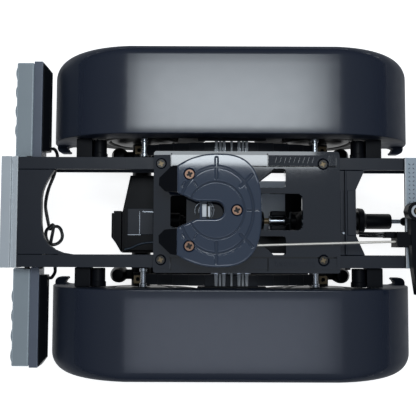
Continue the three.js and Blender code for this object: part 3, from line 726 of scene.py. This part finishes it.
def plate_grooves(plate):
    """The oval ring, the disc's edge, and five spokes between them."""
    carve(plate, ring_groove(radius=23.2, width=1.25, floor=0.26, depth=0.4, flat=0.85))
    carve(plate, ring_groove(radius=15.3, width=0.75, floor=0.16, depth=0.26, flat=0.98))
    thin, thick, floor, depth = 0.7, 1.3, 0.22, 0.34
    spokes = ((90, 15.9, 29.2, thick), (45, 16.9, 28.2, thick), (0, 15.6, 23.2, thin),
              (-45, 16.9, 28.2, thick), (-90, 15.9, 29.2, thick))
    for degrees, near, far, width in spokes:
        angle = math.radians(degrees)
        carve(plate, long_groove((PLATE_X, 0), angle, near, far, width, floor * width, depth * width))


def plate_seats(plate):
    """The screws' seats, and two short marks beside each rear screw."""
    for centre in PLATE_SCREWS:
        carve(plate, countersink(centre, low=102, top=PLATE_TOP, cone_r=3.1, lip=0.3, steps=40))
    x, y = PLATE_SCREWS[0]
    spread, near, far, width, floor, depth = 0.55, 4.2, 8.2, 0.8, 0.15, 0.35
    for _, side in SIDES:
        for turn in (-spread, spread):
            angle = side * (turn - math.pi / 2)
            carve(plate, long_groove((x, side * y), angle, near, far, width, floor, depth))


def coupling_plate():
    """The tilting plate, glossy, with its sloping horns painted dull black as painted shade, and its three
    bronze screws.
    """
    plate = plate_blank()
    plate_grooves(plate)
    plate_seats(plate)
    plate = rounded(plate, 0.12, 2, 40)
    # Painted shade: the faces behind the rear edge, the horns, take the dull black look.
    horns_from = (PLATE_REAR - 0.3) * MM
    two_tone(plate, "coupling_black", "black_plastic", lambda face: face.center.x < horns_from)
    stand_for(plate, "fifth_wheel_plate")
    for i, centre in enumerate(PLATE_SCREWS):
        screw = cross_screw(2.7, PLATE_TOP - 0.1, centre, "screw_bronze")
        finish_piece(f"plate_screw_{i + 1}", screw, "saddle_plate", "screw_bronze")


BASE_SCREWS = ((-40.4, 27), (-40.4, -27), (50.7, 27), (50.7, -27))


def base_blank(x, y, bottom):
    """The base's slab with its draughted window, the opening behind it, and a slot beside it on each side."""
    above = BASE_TOP + 1
    base = prism(rounded_outline(x, y, 1.4), "z", bottom, BASE_TOP)
    rear, front, half, draught = 9, 39.2, 10.3, 0.3
    window = [(rounded_outline((rear + draw, front - draw), (draw - half, half - draw), 3), z)
              for draw, z in ((draught, bottom - 1), (draught, bottom), (0, BASE_TOP), (0, above))]
    carve(base, stacked(window))
    carve(base, prism(rounded_outline((-35, -26), (-9, 9), 1.5), "z", 0, above))
    quarter, corner_r = math.pi / 2, 1.6
    for _, side in SIDES:
        slot = ([(13.5, 13.6)] + circle(28, 15.2, corner_r, 6, -quarter, quarter)
                + circle(28, 22.7, corner_r, 6, 0, quarter) + [(23, 24.3), (13.5, 16)])
        carve(base, prism([(u, side * v) for u, v in slot], "z", 0, above))
    return rounded(base, 0.8, 4, 50)


def base_side(base, side, x):
    """One side's sloping ledge, bed for the ribs, narrow gaps, frame round the front screw, and pivot lug."""
    high, ledge_in, ledge_out = 95, 31.9, 36
    slope = BASE_TOP - (1.66 if side > 0 else 1.1)
    ledge = [(side * ledge_in, BASE_TOP - 1.1), (side * ledge_out, slope), (side * ledge_out, high),
             (side * ledge_in, high)]
    carve(base, prism(ledge, "x", x[0] - 5, x[1] + 5))
    bed_in = 25.7
    bed = [(side * bed_in, BASE_TOP - 0.2), (side * ledge_in, BASE_TOP - 0.01), (side * ledge_in, high),
           (side * bed_in, high)]
    carve(base, prism(bed, "x", 19.7, 53.5))
    strip = span(side, 25.4, 33)
    for gap in (((-35.6, 58), span(side, 25.2, 25.9)), ((19.2, 19.9), strip), ((-34.9, -34.2), strip)):
        carve(base, block(*gap, (BASE_TOP - 4.5, BASE_TOP + 2)))
    border = rounded_outline((53.9, 58), span(side, 24.4, 31), 0.6)
    carve(base, prism(border, "z", BASE_TOP - 0.5, BASE_TOP + 2))
    half, low, shoulder = 5.5, 84, 92
    lug = [(PLATE_X - half, low), (PLATE_X + half, low), (PLATE_X + half, shoulder)]
    lug += circle(PLATE_X, 92.5, 4, 16, 0.1, math.pi - 0.2) + [(PLATE_X - half, shoulder)]
    carve(base, carve(prism(lug, "y", *span(side, 18, 22)), pin_hole()), "UNION")


def coupling_base():
    """The glossy base under the plate, sloping at the rear and hollow from below, and its four dark screws."""
    low, high = node_box("fifth_wheel_base")
    x, y = (low.x, high.x), (low.y, high.y)
    base = base_blank(x, y, low.z)
    for _, side in SIDES:
        base_side(base, side, x)
    slope_from, far, above = -34.5, -60, 95
    slope = [(slope_from, BASE_TOP + 0.05), (far, BASE_TOP - 2.2), (far, above), (slope_from, above)]
    carve(base, prism(slope, "y", -50, 50))
    wall, skin = 6, 3
    carve(base, block((x[0] + wall, x[1] - wall), (-21, 21), (low.z - 1, BASE_TOP - skin)))
    for centre in BASE_SCREWS:
        carve(base, countersink(centre, low=86, top=BASE_TOP, cone_r=3.0, lip=0.6, steps=36))
    base = painted(rounded(base, 0.14, 2, 40), "base_black")
    stand_for(base, "fifth_wheel_base")
    for i, centre in enumerate(BASE_SCREWS):
        screw = cross_screw(2.6, BASE_TOP - 0.45, centre, "screw_dark", "bush_brass")
        finish_piece(f"base_screw_{i + 1}", screw, "chassis", "screw_dark")


def base_ribs():
    """Nine short slanting ribs along each side of the base."""
    first, pitch, sink = 23.6, 2.6, 0.1
    ribs = []
    for _, side in SIDES:
        for i in range(9):
            start = first + pitch * i
            route = ((0, 27.5), (0.5, 29), (1, 30.6))
            path = [Vector((start + u, side * v, BASE_TOP - sink)) for u, v in route]
            ribs.append(tube(path, 0.42, 12))
    finish_piece("base_ribs", joined(ribs), "chassis", "base_black")


def release_link():
    """A bent black link that crosses the left side slot under the plate's edge."""
    z = 84.2
    path = through([(9, 13, z), (16, 18.9, z), (22.2, 23.4, z), (24.6, 24, z), (31, 23.9, z)], 8)
    finish_piece("release_link", tube(path, 0.95, 12), "chassis", "link_black")


# ---- Rails, crossmembers, deck
def front_gusset():
    """The crossmember ahead of the coupling: a flared gusset with an upright web across its top."""
    node = "front_crossmember"
    gusset = rounded(node_copy(node), 0.4, 2)
    foot, thin = RAIL_TOP - 0.2, RAIL_TOP + 0.7
    web = rounded(block((63.9, 65), (-24, 24), (foot, RAIL_TOP + 2.2)), 0.3)
    plate = rounded(block((65.6, 70.2), (-13, 12.8), (foot, thin)), 0.25)
    pad = rounded(block((61.4, 63.4), (-11, 12.8), (foot, thin)), 0.25)
    dot = painted(bar("z", 0.9, RAIL_TOP, thin, (63.2, -11.6, 0)), "bright_steel")
    dark = [painted(part, "frame_charcoal") for part in (gusset, web, plate, pad)]
    stand_for(joined([*dark, dot]), node)


def deck_plate():
    """The pale deck with rows of small diamond lugs, which point left and right by turns; the lugs are painted
    darker as painted shade, and a white strip on the rear edge is a painted highlight.
    """
    low, high = node_box("deck_plate")
    pitch, long, wide, crown = 2.4, 0.95, 0.33, 0.45
    rows = int((high.x - low.x - 3) / pitch)
    columns = int((high.y - low.y - 2) / pitch)
    sheet = rounded(block((low.x, high.x), (low.y, high.y), (low.z, high.z - 0.35)), 0.2)
    lugs = []
    for i in range(rows):
        for j in range(columns):
            x = low.x + 2.6 + pitch * i
            y = low.y + 1.6 + pitch * j
            turn = math.radians(45 if (i + j) % 2 else -45)
            diamond = [(long, 0), (0, wide), (-long, 0), (0, -wide)]
            top = [(u * crown, v * crown) for u, v in diamond]
            layers = [(placed(diamond, turn, x, y), high.z - 0.4), (placed(top, turn, x, y), high.z)]
            # Painted shade: the lugs take a darker grey than the deck.
            lugs.append(painted(stacked(layers), "lamp_body"))
    # Painted highlight: a white strip along the deck's rear edge.
    edge = rounded(block((low.x, low.x + 0.9), (low.y, high.y), (low.z, high.z)), 0.15)
    parts = [painted(sheet, "deck_grey"), painted(edge, "washer_white"), *lugs]
    stand_for(joined(parts), "deck_plate")


def case_washer():
    """A ring washer on the gearbox case, with a brass hub in it."""
    place = (102, 0.5, 0)
    ring_in, ring_out, ring_low, ring_top = 2.3, 3.5, 91.4, 92.1
    profile = [(ring_in, ring_low), (ring_out, ring_low), (ring_out, ring_top), (ring_in, ring_top)]
    finish_piece("case_ring", smooth(turned(profile, "z", place, 48), 30), "chassis", "washer_white")
    finish_piece("case_hub", bar("z", 1.7, 91.3, 92.2, place), "chassis", "bush_brass")


def mirrored(piece, side):
    """Turns a piece made for the left side into the right side's."""
    if side < 0:
        piece.data.transform(Matrix.Diagonal((1, -1, 1, 1)))
        piece.data.flip_normals()
    return piece


def rail_bolts():
    """Hexagon heads on the rails' outer faces, where the crossmembers bolt on."""
    places = ((-119, 72), (-112.5, 68), (-8, 70), (8, 70), (68, 70), (125, 72))
    flange_r, flange_high, head_r, head_high = 2.1, 0.3, 1.7, 1.5
    for name, side in SIDES:
        heads = []
        for x, z in places:
            profile = pillar(flange_r, RAIL_HALF - 0.1, RAIL_HALF + flange_high)
            flange = turned(profile, "y", (x, 0, z), 24)
            hexagon = prism(circle(x, z, head_r, 6), "y", RAIL_HALF + 0.2, RAIL_HALF + head_high)
            heads += [mirrored(flange, side), rounded(mirrored(hexagon, side), 0.15)]
        finish_piece(f"{name}_rail_bolts", joined(heads), "chassis", "screw_dark")


# ---- Tail lamps
def lamp_lenses():
    """Rounded bars with four domes on each, which stand in low rims on the rear face."""
    rim_r, dome_r, bulge, first, pitch = 5.0, 4.4, 1.0, 49, 11.5
    steps = 8
    for name, side in SIDES:
        node = f"{name}_lamp_lens"
        low, high = node_box(node)
        face = low.x + 1.5
        back = face - 0.5
        middle = (low.z + high.z) / 2
        parts = [rounded(block((face, high.x), (low.y, high.y), (low.z, high.z)), 0.9, 4)]
        rim = [(0, face + 0.4), (rim_r, face + 0.4), (rim_r, face - 0.35), (4.6, back)]
        angles = [math.pi / 2 * k / steps for k in range(steps)]
        dome = [(dome_r * math.cos(a), back - bulge * math.sin(a)) for a in angles]
        for i in range(4):
            centre = (0, side * (first + pitch * i), middle)
            parts.append(smooth(turned(rim + dome + [(0, back - bulge)], "x", centre, 40), 40))
        stand_for(joined(parts), node)


# ---- Lamp lead and small wires
LEAD_Z = 70
LEAD_HOLE = -103


def lead_route():
    """The CAD's lead: out of one lamp, along the arch, round one slack loop, and into the other lamp."""
    def to_lamp(side):
        return [(-108.1, side * 38.5, 65), (-106.3, side * 38.3, 65.4), (LEAD_HOLE - 0.4, side * 35, 69),
                (LEAD_HOLE, side * RAIL_HALF, 71), (LEAD_HOLE, side * 28.5, 71)]

    steps, start, sweep = 12, 0.75 * math.pi, -2.25 * math.pi
    loop_x, loop_y, half_long, half_wide, climb = -103.6, -13.4, 4.6, 5.4, 4.4
    loop = []
    for i in range(steps + 1):
        a = start + sweep * i / steps
        x, y = loop_x + half_long * math.cos(a), loop_y + half_wide * math.sin(a)
        loop.append((x, y, LEAD_Z + climb * i / steps))
    along_arch = [(LEAD_HOLE - 2, 22.5, LEAD_Z - 1), (-108, 14, LEAD_Z), (-109.4, 5, LEAD_Z),
                  (-108.4, -3, LEAD_Z)]
    down = [(-105.2, -20.6, LEAD_Z + 4), (-102, -24.6, LEAD_Z + 1.6)]
    return to_lamp(1) + along_arch + loop + down + to_lamp(-1)[::-1]


def lamp_lead():
    """Three thin strands, slightly twisted round one another along the lead's route."""
    strands, offset, radius, twist = 3, 0.56, 0.52, 0.13
    frames = frames_along(through(lead_route(), 6))
    lines = []
    for strand in range(strands):
        start = math.tau * strand / strands
        line = [beside(frame_at, start + i * twist, offset) for i, frame_at in enumerate(frames)]
        lines.append(tube(line, radius, 10))
    stand_for(joined(lines), "lamp_lead")


def release_rod():
    """The chrome rod leans towards the centre plane as it runs forward."""
    start, slope = Vector((4, -19, 92)), 0.0305
    path = [start + Vector((step, step * slope, 0)) for step in (0, 43, 87)]
    stand_for(painted(tube(path, 0.66, 20), "rod_chrome"), "release_rod")


def release_cable():
    """Two lines side by side from the release block down to the gusset."""
    route = ((84.5, -12.6, 86.4), (80.5, -12.6, 85.6), (76, -12.5, 82.6), (72.6, -12.3, 79.8))
    apart, radius = 0.78, 0.8
    lines = [tube(through([(x, y + shift, z) for x, y, z in route], 8), radius, 12)
             for shift in (-apart, apart)]
    stand_for(joined(lines), "release_cable")


def case_pad_and_wire():
    """A raised pad on top of the rear axle's case with bright strips along its edges as painted highlights,
    and a thin blue wire beside it.
    """
    top = 60.6
    pad = painted(rounded(block((-62.3, -47), (-12.6, 3), (59.8, top)), 0.25), "frame_charcoal")
    # Painted highlights: thin bright strips along three of the pad's edges.
    lines = (((-53.4, -47), (0.9, 1.4)), ((-62.1, -54.3), (-12.9, -12.5)), ((-55.2, -54.9), (-12.2, 1.1)))
    edges = [painted(block(x, y, (top - 0.1, top + 0.15)), "bright_steel") for x, y in lines]
    finish_piece("case_pad", joined([pad, *edges]), "bogie", "frame_charcoal")
    route = ((-64, -21.6), (-60, -20.6), (-55, -18.4), (-50, -17.4), (-46.4, -17.2))
    path = through([(x, y, top) for x, y in route], 8)
    finish_piece("case_wire", tube(path, 0.55, 10), "bogie", "wire_blue")


# ---- Springs
def spring_packs():
    """Five curved leaves to a pack, each shorter than the one below it, and a brass bush at both ends."""
    drop, shorter, gap, steps = 6.5, 9.5, 0.06, 24
    for name, side in SIDES:
        leaves = []
        for i in range(5):
            half = SPRING_HALF - shorter * i
            xs = [half * (2 * k / steps - 1) for k in range(steps + 1)]
            lower = [(x, SPRING_Z - drop * (x / SPRING_HALF) ** 2 + LEAF * i + gap) for x in xs]
            upper = [(x, z + LEAF - 2 * gap) for x, z in reversed(lower)]
            y = span(side, SPRING_Y - SPRING_W / 2, SPRING_Y + SPRING_W / 2)
            leaves.append(rounded(prism(lower + upper, "y", *y), 0.3, 2, 40))
        stand_for(joined(leaves), f"{name}_spring_pack")
        for end, sign in ENDS:
            spring_eye(f"{end}_{name}_spring_eye", sign * (SPRING_HALF + 2.6), side * SPRING_Y)


def spring_eye(name, x, y):
    """A square bush with a round hole at a spring's end."""
    half, hole_r, z, half_high = 2.5, 1.2, 52.6, 1.2
    eye = block((x - half, x + half), (y - half, y + half), (z - half_high, z + half_high))
    carve(eye, turned(pillar(hole_r, z - 3, z + 3), "z", (x, y, 0), 24))
    finish_piece(name, rounded(eye, 0.25, 2), "bogie", "bush_brass")


def clamp_bolts():
    """The trunnion's centre bolt and clamp bars across each spring."""
    top = SPRING_Z + LEAF * 5 + 2.6
    for name, side in SIDES:
        bars = []
        for x in (-9, -6.7, -4.5, 0, 4.5, 6.7, 9):
            reach = (34.6, 44.4) if x == 0 else (35.8, 43.9)
            bars.append(bar("y", 0.75, *span(side, *reach), (x, 0, top), 20))
        finish_piece(f"{name}_clamp_bolts", joined(bars), "bogie", "washer_white")


def brake_chambers(name, side):
    """A can with a flanged middle and a domed top beside each axle, on a short arm."""
    can_x, can_y, can_r, seam_r, half = 70, 37.4, 5, 5.3, 3
    profile = [(0, 31), (can_r - 0.8, 31), (can_r, 32), (can_r, 38), (seam_r, 38.4), (seam_r, 40),
               (can_r, 40.4), (can_r, 44), (3.4, 47.6), (0, 48)]
    y = side * can_y
    for end, sign in ENDS:
        x = sign * can_x
        can = smooth(turned(profile, "z", (x, y, 0), 40), 30)
        arm = block(sorted((x - sign * half, x - sign * 9.5)), (y - half, y + half), (36, 42))
        chamber = joined([can, rounded(arm, 0.6, 3)])
        finish_piece(f"{end}_{name}_brake_chamber", chamber, "bogie", "axle_black")


def under_fenders():
    """The brake chambers, a lower rod along each side of the bogie, and a flat black sheet under each fender
    as painted shade.
    """
    for name, side in SIDES:
        brake_chambers(name, side)
        rod = rounded(block((-51, 51), span(side, 33, 39.5), (28.6, 33)), 0.9, 3)
        finish_piece(f"{name}_lower_rod", joined([rod]), "bogie", "axle_black")
        # Painted shade: a black sheet under the fender, wide enough to hide the floor in the gap.
        shade_sheet = rounded(block((-20, 20), span(side, 42.6, 62), (70, 73)), 0.5)
        finish_piece(f"{name}_fender_shade_sheet", joined([shade_sheet]), "chassis", "axle_black")


# ---- Drive line
def prop_shaft():
    """The black sleeve with its flange, bolts and slim bright neck, as far as the frame is seen."""
    nose, front = 80.3, 117.0
    line = (0, SHAFT_Y, SHAFT_Z)
    sleeve = [(0, nose), (8.2, nose), (8.4, nose + 0.3), (8.1, nose + 3.2), (7.6, nose + 3.8),
              (5.2, nose + 4.2), (5.2, 85.2), (4.9, 85.6), (4.9, 100.6), (4.5, 101.3), (1.6, 101.6),
              (1.4, 102), (1.4, 107.6), (2.0, 108.6), (2.7, 109.6), (2.7, 112), (2.2, front), (0, front)]
    body = painted(smooth(turned(sleeve, "x", line, 48), 30), "black_plastic")
    neck = painted(bar("x", 1.5, 101.4, 108.4, line), "bright_steel")
    bolts, circle_r = [], 6
    for y, z in circle(SHAFT_Y, SHAFT_Z, circle_r, 4, math.pi / 4):
        bolts.append(painted(bar("x", 0.8, 84, 84.9, (0, y, z), 16), "bright_steel"))
    stand_for(joined([body, neck, *bolts]), "prop_shaft")


def inter_axle_shaft():
    """The shaft between the axles, made of black, bright and brass runs, with a two-armed fork in front."""
    end = 37.6
    collar_r, disc_r, bush_r, shaft_r = 6.2, 4.9, 1.9, 2.6
    runs = (
        ("black_plastic", [(0, -end), (5, -end), (5, -32), (3.6, -31), (3.6, -29.5), (shaft_r, -29),
                           (shaft_r, -11), (0, -11)]),
        ("bright_steel", pillar(2.5, -11, 17.5)),
        ("black_plastic", [(0, 17.2), (5.6, 17.2), (collar_r, 17.8), (collar_r, 20.6), (5.6, 21.2),
                           (0, 21.2)]),
        ("bush_brass", pillar(bush_r, 21, 24.4)),
        ("bright_steel", [(0, 24.4), (4.8, 24.4), (disc_r, 24.6), (disc_r, 25), (4.8, 25.2), (0, 25.2)]),
        ("bright_steel", pillar(shaft_r, 25, 34.4)),
        ("black_plastic", [(0, 34.2), (3.4, 34.2), (3.6, 34.5), (3.6, 35.3), (3.4, 35.6), (0, 35.6)]),
        ("bright_steel", [(0, 35.4), (2.4, 35.4), (1.7, end), (0, end)]),
    )
    parts = [painted(smooth(turned(profile, "x", (0, SHAFT_Y, SHAFT_Z), 48), 30), name)
             for name, profile in runs]
    inner, outer, half = 2.9, 6.2, 5
    for side in (-1, 1):
        y = sorted((SHAFT_Y + side * inner, SHAFT_Y + side * outer))
        fork = block((25.4, 34.8), y, (SHAFT_Z - half, SHAFT_Z + half))
        parts.append(painted(rounded(fork, 0.8, 3), "black_plastic"))
    stand_for(joined(parts), "inter_axle_shaft")


def jaw_details():
    """Bright hardened strips under the slot, which ride with the jaw, and the curved lips round them."""
    wide = rounded(block((-17.1, -14.8), (-3.3, 3.6), (97, 97.3)), 0.12)
    narrow = rounded(block((-14.0, -12.8), (-3.3, 2.4), (96.6, 97.2)), 0.12)
    lip_z, lip_r = 96.4, 0.22
    arcs = ((-16.2, 4.9, 1.9, 1.6), (-15.6, 3.4, 1.75, 1.7), (-17.4, 5.6, -0.75, 1.6),
            (-17.4, 6.6, -0.65, 1.4))
    lips = []
    for middle, radius, start, sweep in arcs:
        path = [Vector((x, y, lip_z)) for x, y in circle(middle, 0, radius, 16, start, sweep)]
        lips.append(painted(tube(path, lip_r, 8), "bright_steel"))
    strips = [painted(strip, "washer_white") for strip in (wide, narrow)]
    finish_piece("jaw_strips", joined([*strips, *lips]), "locking_jaw", "washer_white")


# ---- Wheels
TYRE_R, TREAD_HALF = 41.5, 8.4


def tread_radius(y, k):
    """The tread's radius at distance y from its middle and step k round it."""
    block_steps, shoulder_gap, sipe_gap = 12, 3, 2
    across = abs(y)
    groove = 1.25 if 4.0 <= across <= 5.1 or across <= 0.6 else 0
    shoulder = 1.1 if across >= 6.3 and k % block_steps < shoulder_gap else 0
    shift = block_steps // 2 if y > 0 else 0
    sipe = 0.7 if 1.9 <= across <= 3.7 and (k + shift) % block_steps < sipe_gap else 0
    crown = TYRE_R - 0.9 * (across / TREAD_HALF) ** 3
    return crown - max(groove, shoulder, sipe)


def tyre_mesh():
    """One tyre about the Y axis at the origin, with ribs, sipes and shoulder blocks cut into the tread."""
    bead, steps = 23.0, 288
    wall = [(bead, 7.9), (bead + 1.2, 8.9), (27.4, 9.6), (31, 10.1), (34, 10.3), (36.6, 10.1),
            (38.6, 9.5), (39.8, 8.9)]
    tread = [TREAD_HALF, 8.1, 6.6, 6.3, 5.4, 5.1, 4.0, 3.7, 2.2, 1.9, 0.9, 0.6, 0.0]
    half = wall + [(None, y) for y in tread]
    across = half + [(r, -y) for r, y in half[-2::-1]]
    rings = []
    for k in range(steps):
        c, s = math.cos(math.tau * k / steps), math.sin(math.tau * k / steps)
        radii = [(tread_radius(y, k) if wall_r is None else wall_r, y) for wall_r, y in across]
        rings.append([(radius * c, y, radius * s) for radius, y in radii])
    points = [point for ring in rings for point in ring]
    n = len(across)
    faces = []
    for k in range(steps):
        nxt = (k + 1) % steps
        faces += [(k * n + i, k * n + (i + 1) % n, nxt * n + (i + 1) % n, nxt * n + i) for i in range(n)]
    return smooth(solid(points, faces), 28)


def rim_mesh():
    """One dual rim about the Y axis, its inner face at y = 0, with hand holes and wheel nuts."""
    profile = [(22.0, 0), (22.6, 0.4), (22.6, 1.4), (21.8, 2.0), (21.8, 20), (21.8, 42.2), (22.6, 42.8),
               (22.6, 43.8), (22.0, 44.2), (21.2, 44.0), (20.8, 43.2), (20.6, 36), (19.4, 31.2), (17.6, 29.4),
               (13.4, 29.8), (11.2, 31.6), (9.2, 32.2), (8.2, 32.2), (7.8, 35.4), (6.8, 36.4), (2.8, 36.4),
               (2.8, 18), (8, 18), (8, 27), (17, 27), (20.4, 26), (20.6, 24), (20.6, 1.2), (21.2, 0.2)]
    rim = turned(profile, "y", (0, 0, 0), 80)
    holes, hole_circle, hole_r = 8, 15.2, 1.9
    for u, v in circle(0, 0, hole_circle, holes, math.pi / holes):
        carve(rim, turned(pillar(hole_r, 22, 36), "y", (u, 0, v), 24))
    # Painted shade: the rim's inner faces take the axle's black, so that they reflect no floor.
    painted_shade_side = 21 * MM
    two_tone(smooth(rim, 32), "wheel_grey", "axle_black", lambda face: face.center.y < painted_shade_side)
    parts = [rim]
    nuts, nut_circle, nut_r, stud_r = 10, 10.4, 1.15, 0.55
    for u, v in circle(0, 0, nut_circle, nuts):
        nut = prism(circle(u, v, nut_r, 6), "y", 31.4, 33.8)
        parts.append(painted(rounded(nut, 0.12, 2), "wheel_grey"))
        parts.append(painted(bar("y", stud_r, 33.6, 34.5, (u, 0, v), 12), "wheel_grey"))
    return joined(parts)


def wheel(end, name, side, tyre, rim):
    """A pair of tyres on one dual rim."""
    for which in ("inner", "outer"):
        node = f"{end}_{name}_{which}_tyre"
        low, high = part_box(node)
        copy = new_object(tyre.data.copy())
        copy.data.transform(Matrix.Translation((low + high) / 2))
        stand_for(copy, node)
    node = f"{end}_{name}_rim"
    low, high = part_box(node)
    copy = new_object(rim.data.copy())
    turn = Matrix.Identity(4) if side > 0 else Matrix.Rotation(math.pi, 4, "Z")
    inner = low.y if side > 0 else high.y
    centre = Vector(((low.x + high.x) / 2, inner, (low.z + high.z) / 2))
    copy.data.transform(Matrix.Translation(centre) @ turn)
    stand_for(copy, node)


def wheels():
    """Four dual wheels, each with a brake drum inside and a hexagon nut on the axle's end."""
    tyre, rim = tyre_mesh(), rim_mesh()
    drum_r, drum_out, nut_r, nut_in, nut_out = 19.9, 61.5, 3.6, 81.9, 84.5
    drum_profile = [(0, 45.2), (15.5, 45.2), (19.4, 46.6), (drum_r, 48), (drum_r, drum_out), (0, drum_out)]
    for end, sign in ENDS:
        centre = (sign * AXLE_X, 0, AXLE_Z)
        for name, side in SIDES:
            wheel(end, name, side, tyre, rim)
            drum = mirrored(turned(drum_profile, "y", centre, 64), side)
            finish_piece(f"{end}_{name}_brake_drum", smooth(drum, 25), f"{end}_wheelset", "axle_black")
            nut = bar("y", nut_r, *span(side, nut_in, nut_out), centre, 6)
            finish_piece(f"{end}_{name}_axle_nut", nut, f"{end}_wheelset", "screw_dark")
    for master in (tyre, rim):
        bpy.data.objects.remove(master)


# ---- Studio
def softbox(name, place, size, power, color):
    """A rectangular lamp that shines straight down; place and size are in metres."""
    light = bpy.data.lights.new(name, "AREA")
    light.shape = "RECTANGLE"
    light.size, light.size_y = size
    light.energy = power
    light.color = color
    lamp = bpy.data.objects.new(name, light)
    lamp.location = place
    lamp.rotation_euler = Vector((0, 0, -1)).to_track_quat("-Z", "Y").to_euler()
    bpy.context.scene.collection.objects.link(lamp)


def studio_floor():
    """A white floor that also glows a little, so that it stays white beside the black part."""
    half, low, glow = 3.0 / MM, -0.2, 0.82
    corners = [(x * half, y * half, low) for x, y in ((-1, -1), (1, -1), (1, 1), (-1, 1))]
    floor = solid(corners, [(0, 1, 2, 3)])
    floor.name = "floor"
    white = surface("floor_white", (0.86, 0.86, 0.86), 0.9, specular=0.0, vary=0.01, depth=0.0, rubbed_and_lit=0)
    shader = white.node_tree.nodes["Principled BSDF"]
    shader.inputs["Emission Color"].default_value = (1, 1, 1, 1)
    shader.inputs["Emission Strength"].default_value = glow
    floor.data.materials.append(white)


def studio_sky():
    """A cool sky that is dim at the horizon and brighter overhead."""
    world = bpy.data.worlds.new("studio")
    world.use_nodes = True
    tree = world.node_tree
    place = add_node(tree, "ShaderNodeTexCoord", "Generated", {})
    height = add_node(tree, "ShaderNodeSeparateXYZ", "Z", {"Vector": place})
    dome = {"Value": height, "From Min": 0.1, "From Max": 0.95, "To Min": 0.07, "To Max": 0.36}
    background = tree.nodes["Background"]
    background.inputs["Color"].default_value = (0.86, 0.93, 1.0, 1)
    tree.links.new(add_node(tree, "ShaderNodeMapRange", "Result", dome), background.inputs["Strength"])
    bpy.context.scene.world = world


def studio():
    studio_floor()
    studio_sky()
    high, cool, blue = 1.0, (0.88, 0.95, 1.0), (0.78, 0.85, 1.0)
    softbox("main_box", (0.028, 0.31, high), size=(0.385, 0.344), power=1.7, color=cool)
    softbox("near_box", (0.028, 0.24, high - 0.01), size=(0.385, 0.2), power=1.22, color=cool)
    softbox("fill_box", (0.025, -0.22, high), size=(0.43, 0.24), power=0.54, color=blue)
    bpy.context.scene.view_settings.view_transform = "Standard"


def camera():
    """A camera almost straight above the part, over its middle."""
    data = bpy.data.cameras.new("camera")
    data.sensor_width = 36
    data.lens = 53.39
    data.clip_start = 0.01
    eye = bpy.data.objects.new("camera", data)
    eye.location = Vector((-14.4, -17.6, 432.4)) * MM
    eye.rotation_euler = (0.0569, -0.0015, 0.0038)
    bpy.context.scene.collection.objects.link(eye)
    bpy.context.scene.camera = eye


camera()
studio()
rounded_copies()
round_bars()
fenders()
fender_stays()
coupling_plate()
coupling_base()
base_ribs()
front_gusset()
deck_plate()
case_washer()
rail_bolts()
lamp_lenses()
lamp_lead()
release_rod()
release_cable()
case_pad_and_wire()
spring_packs()
clamp_bolts()
under_fenders()
prop_shaft()
inter_axle_shaft()
jaw_details()
release_link()
wheels()
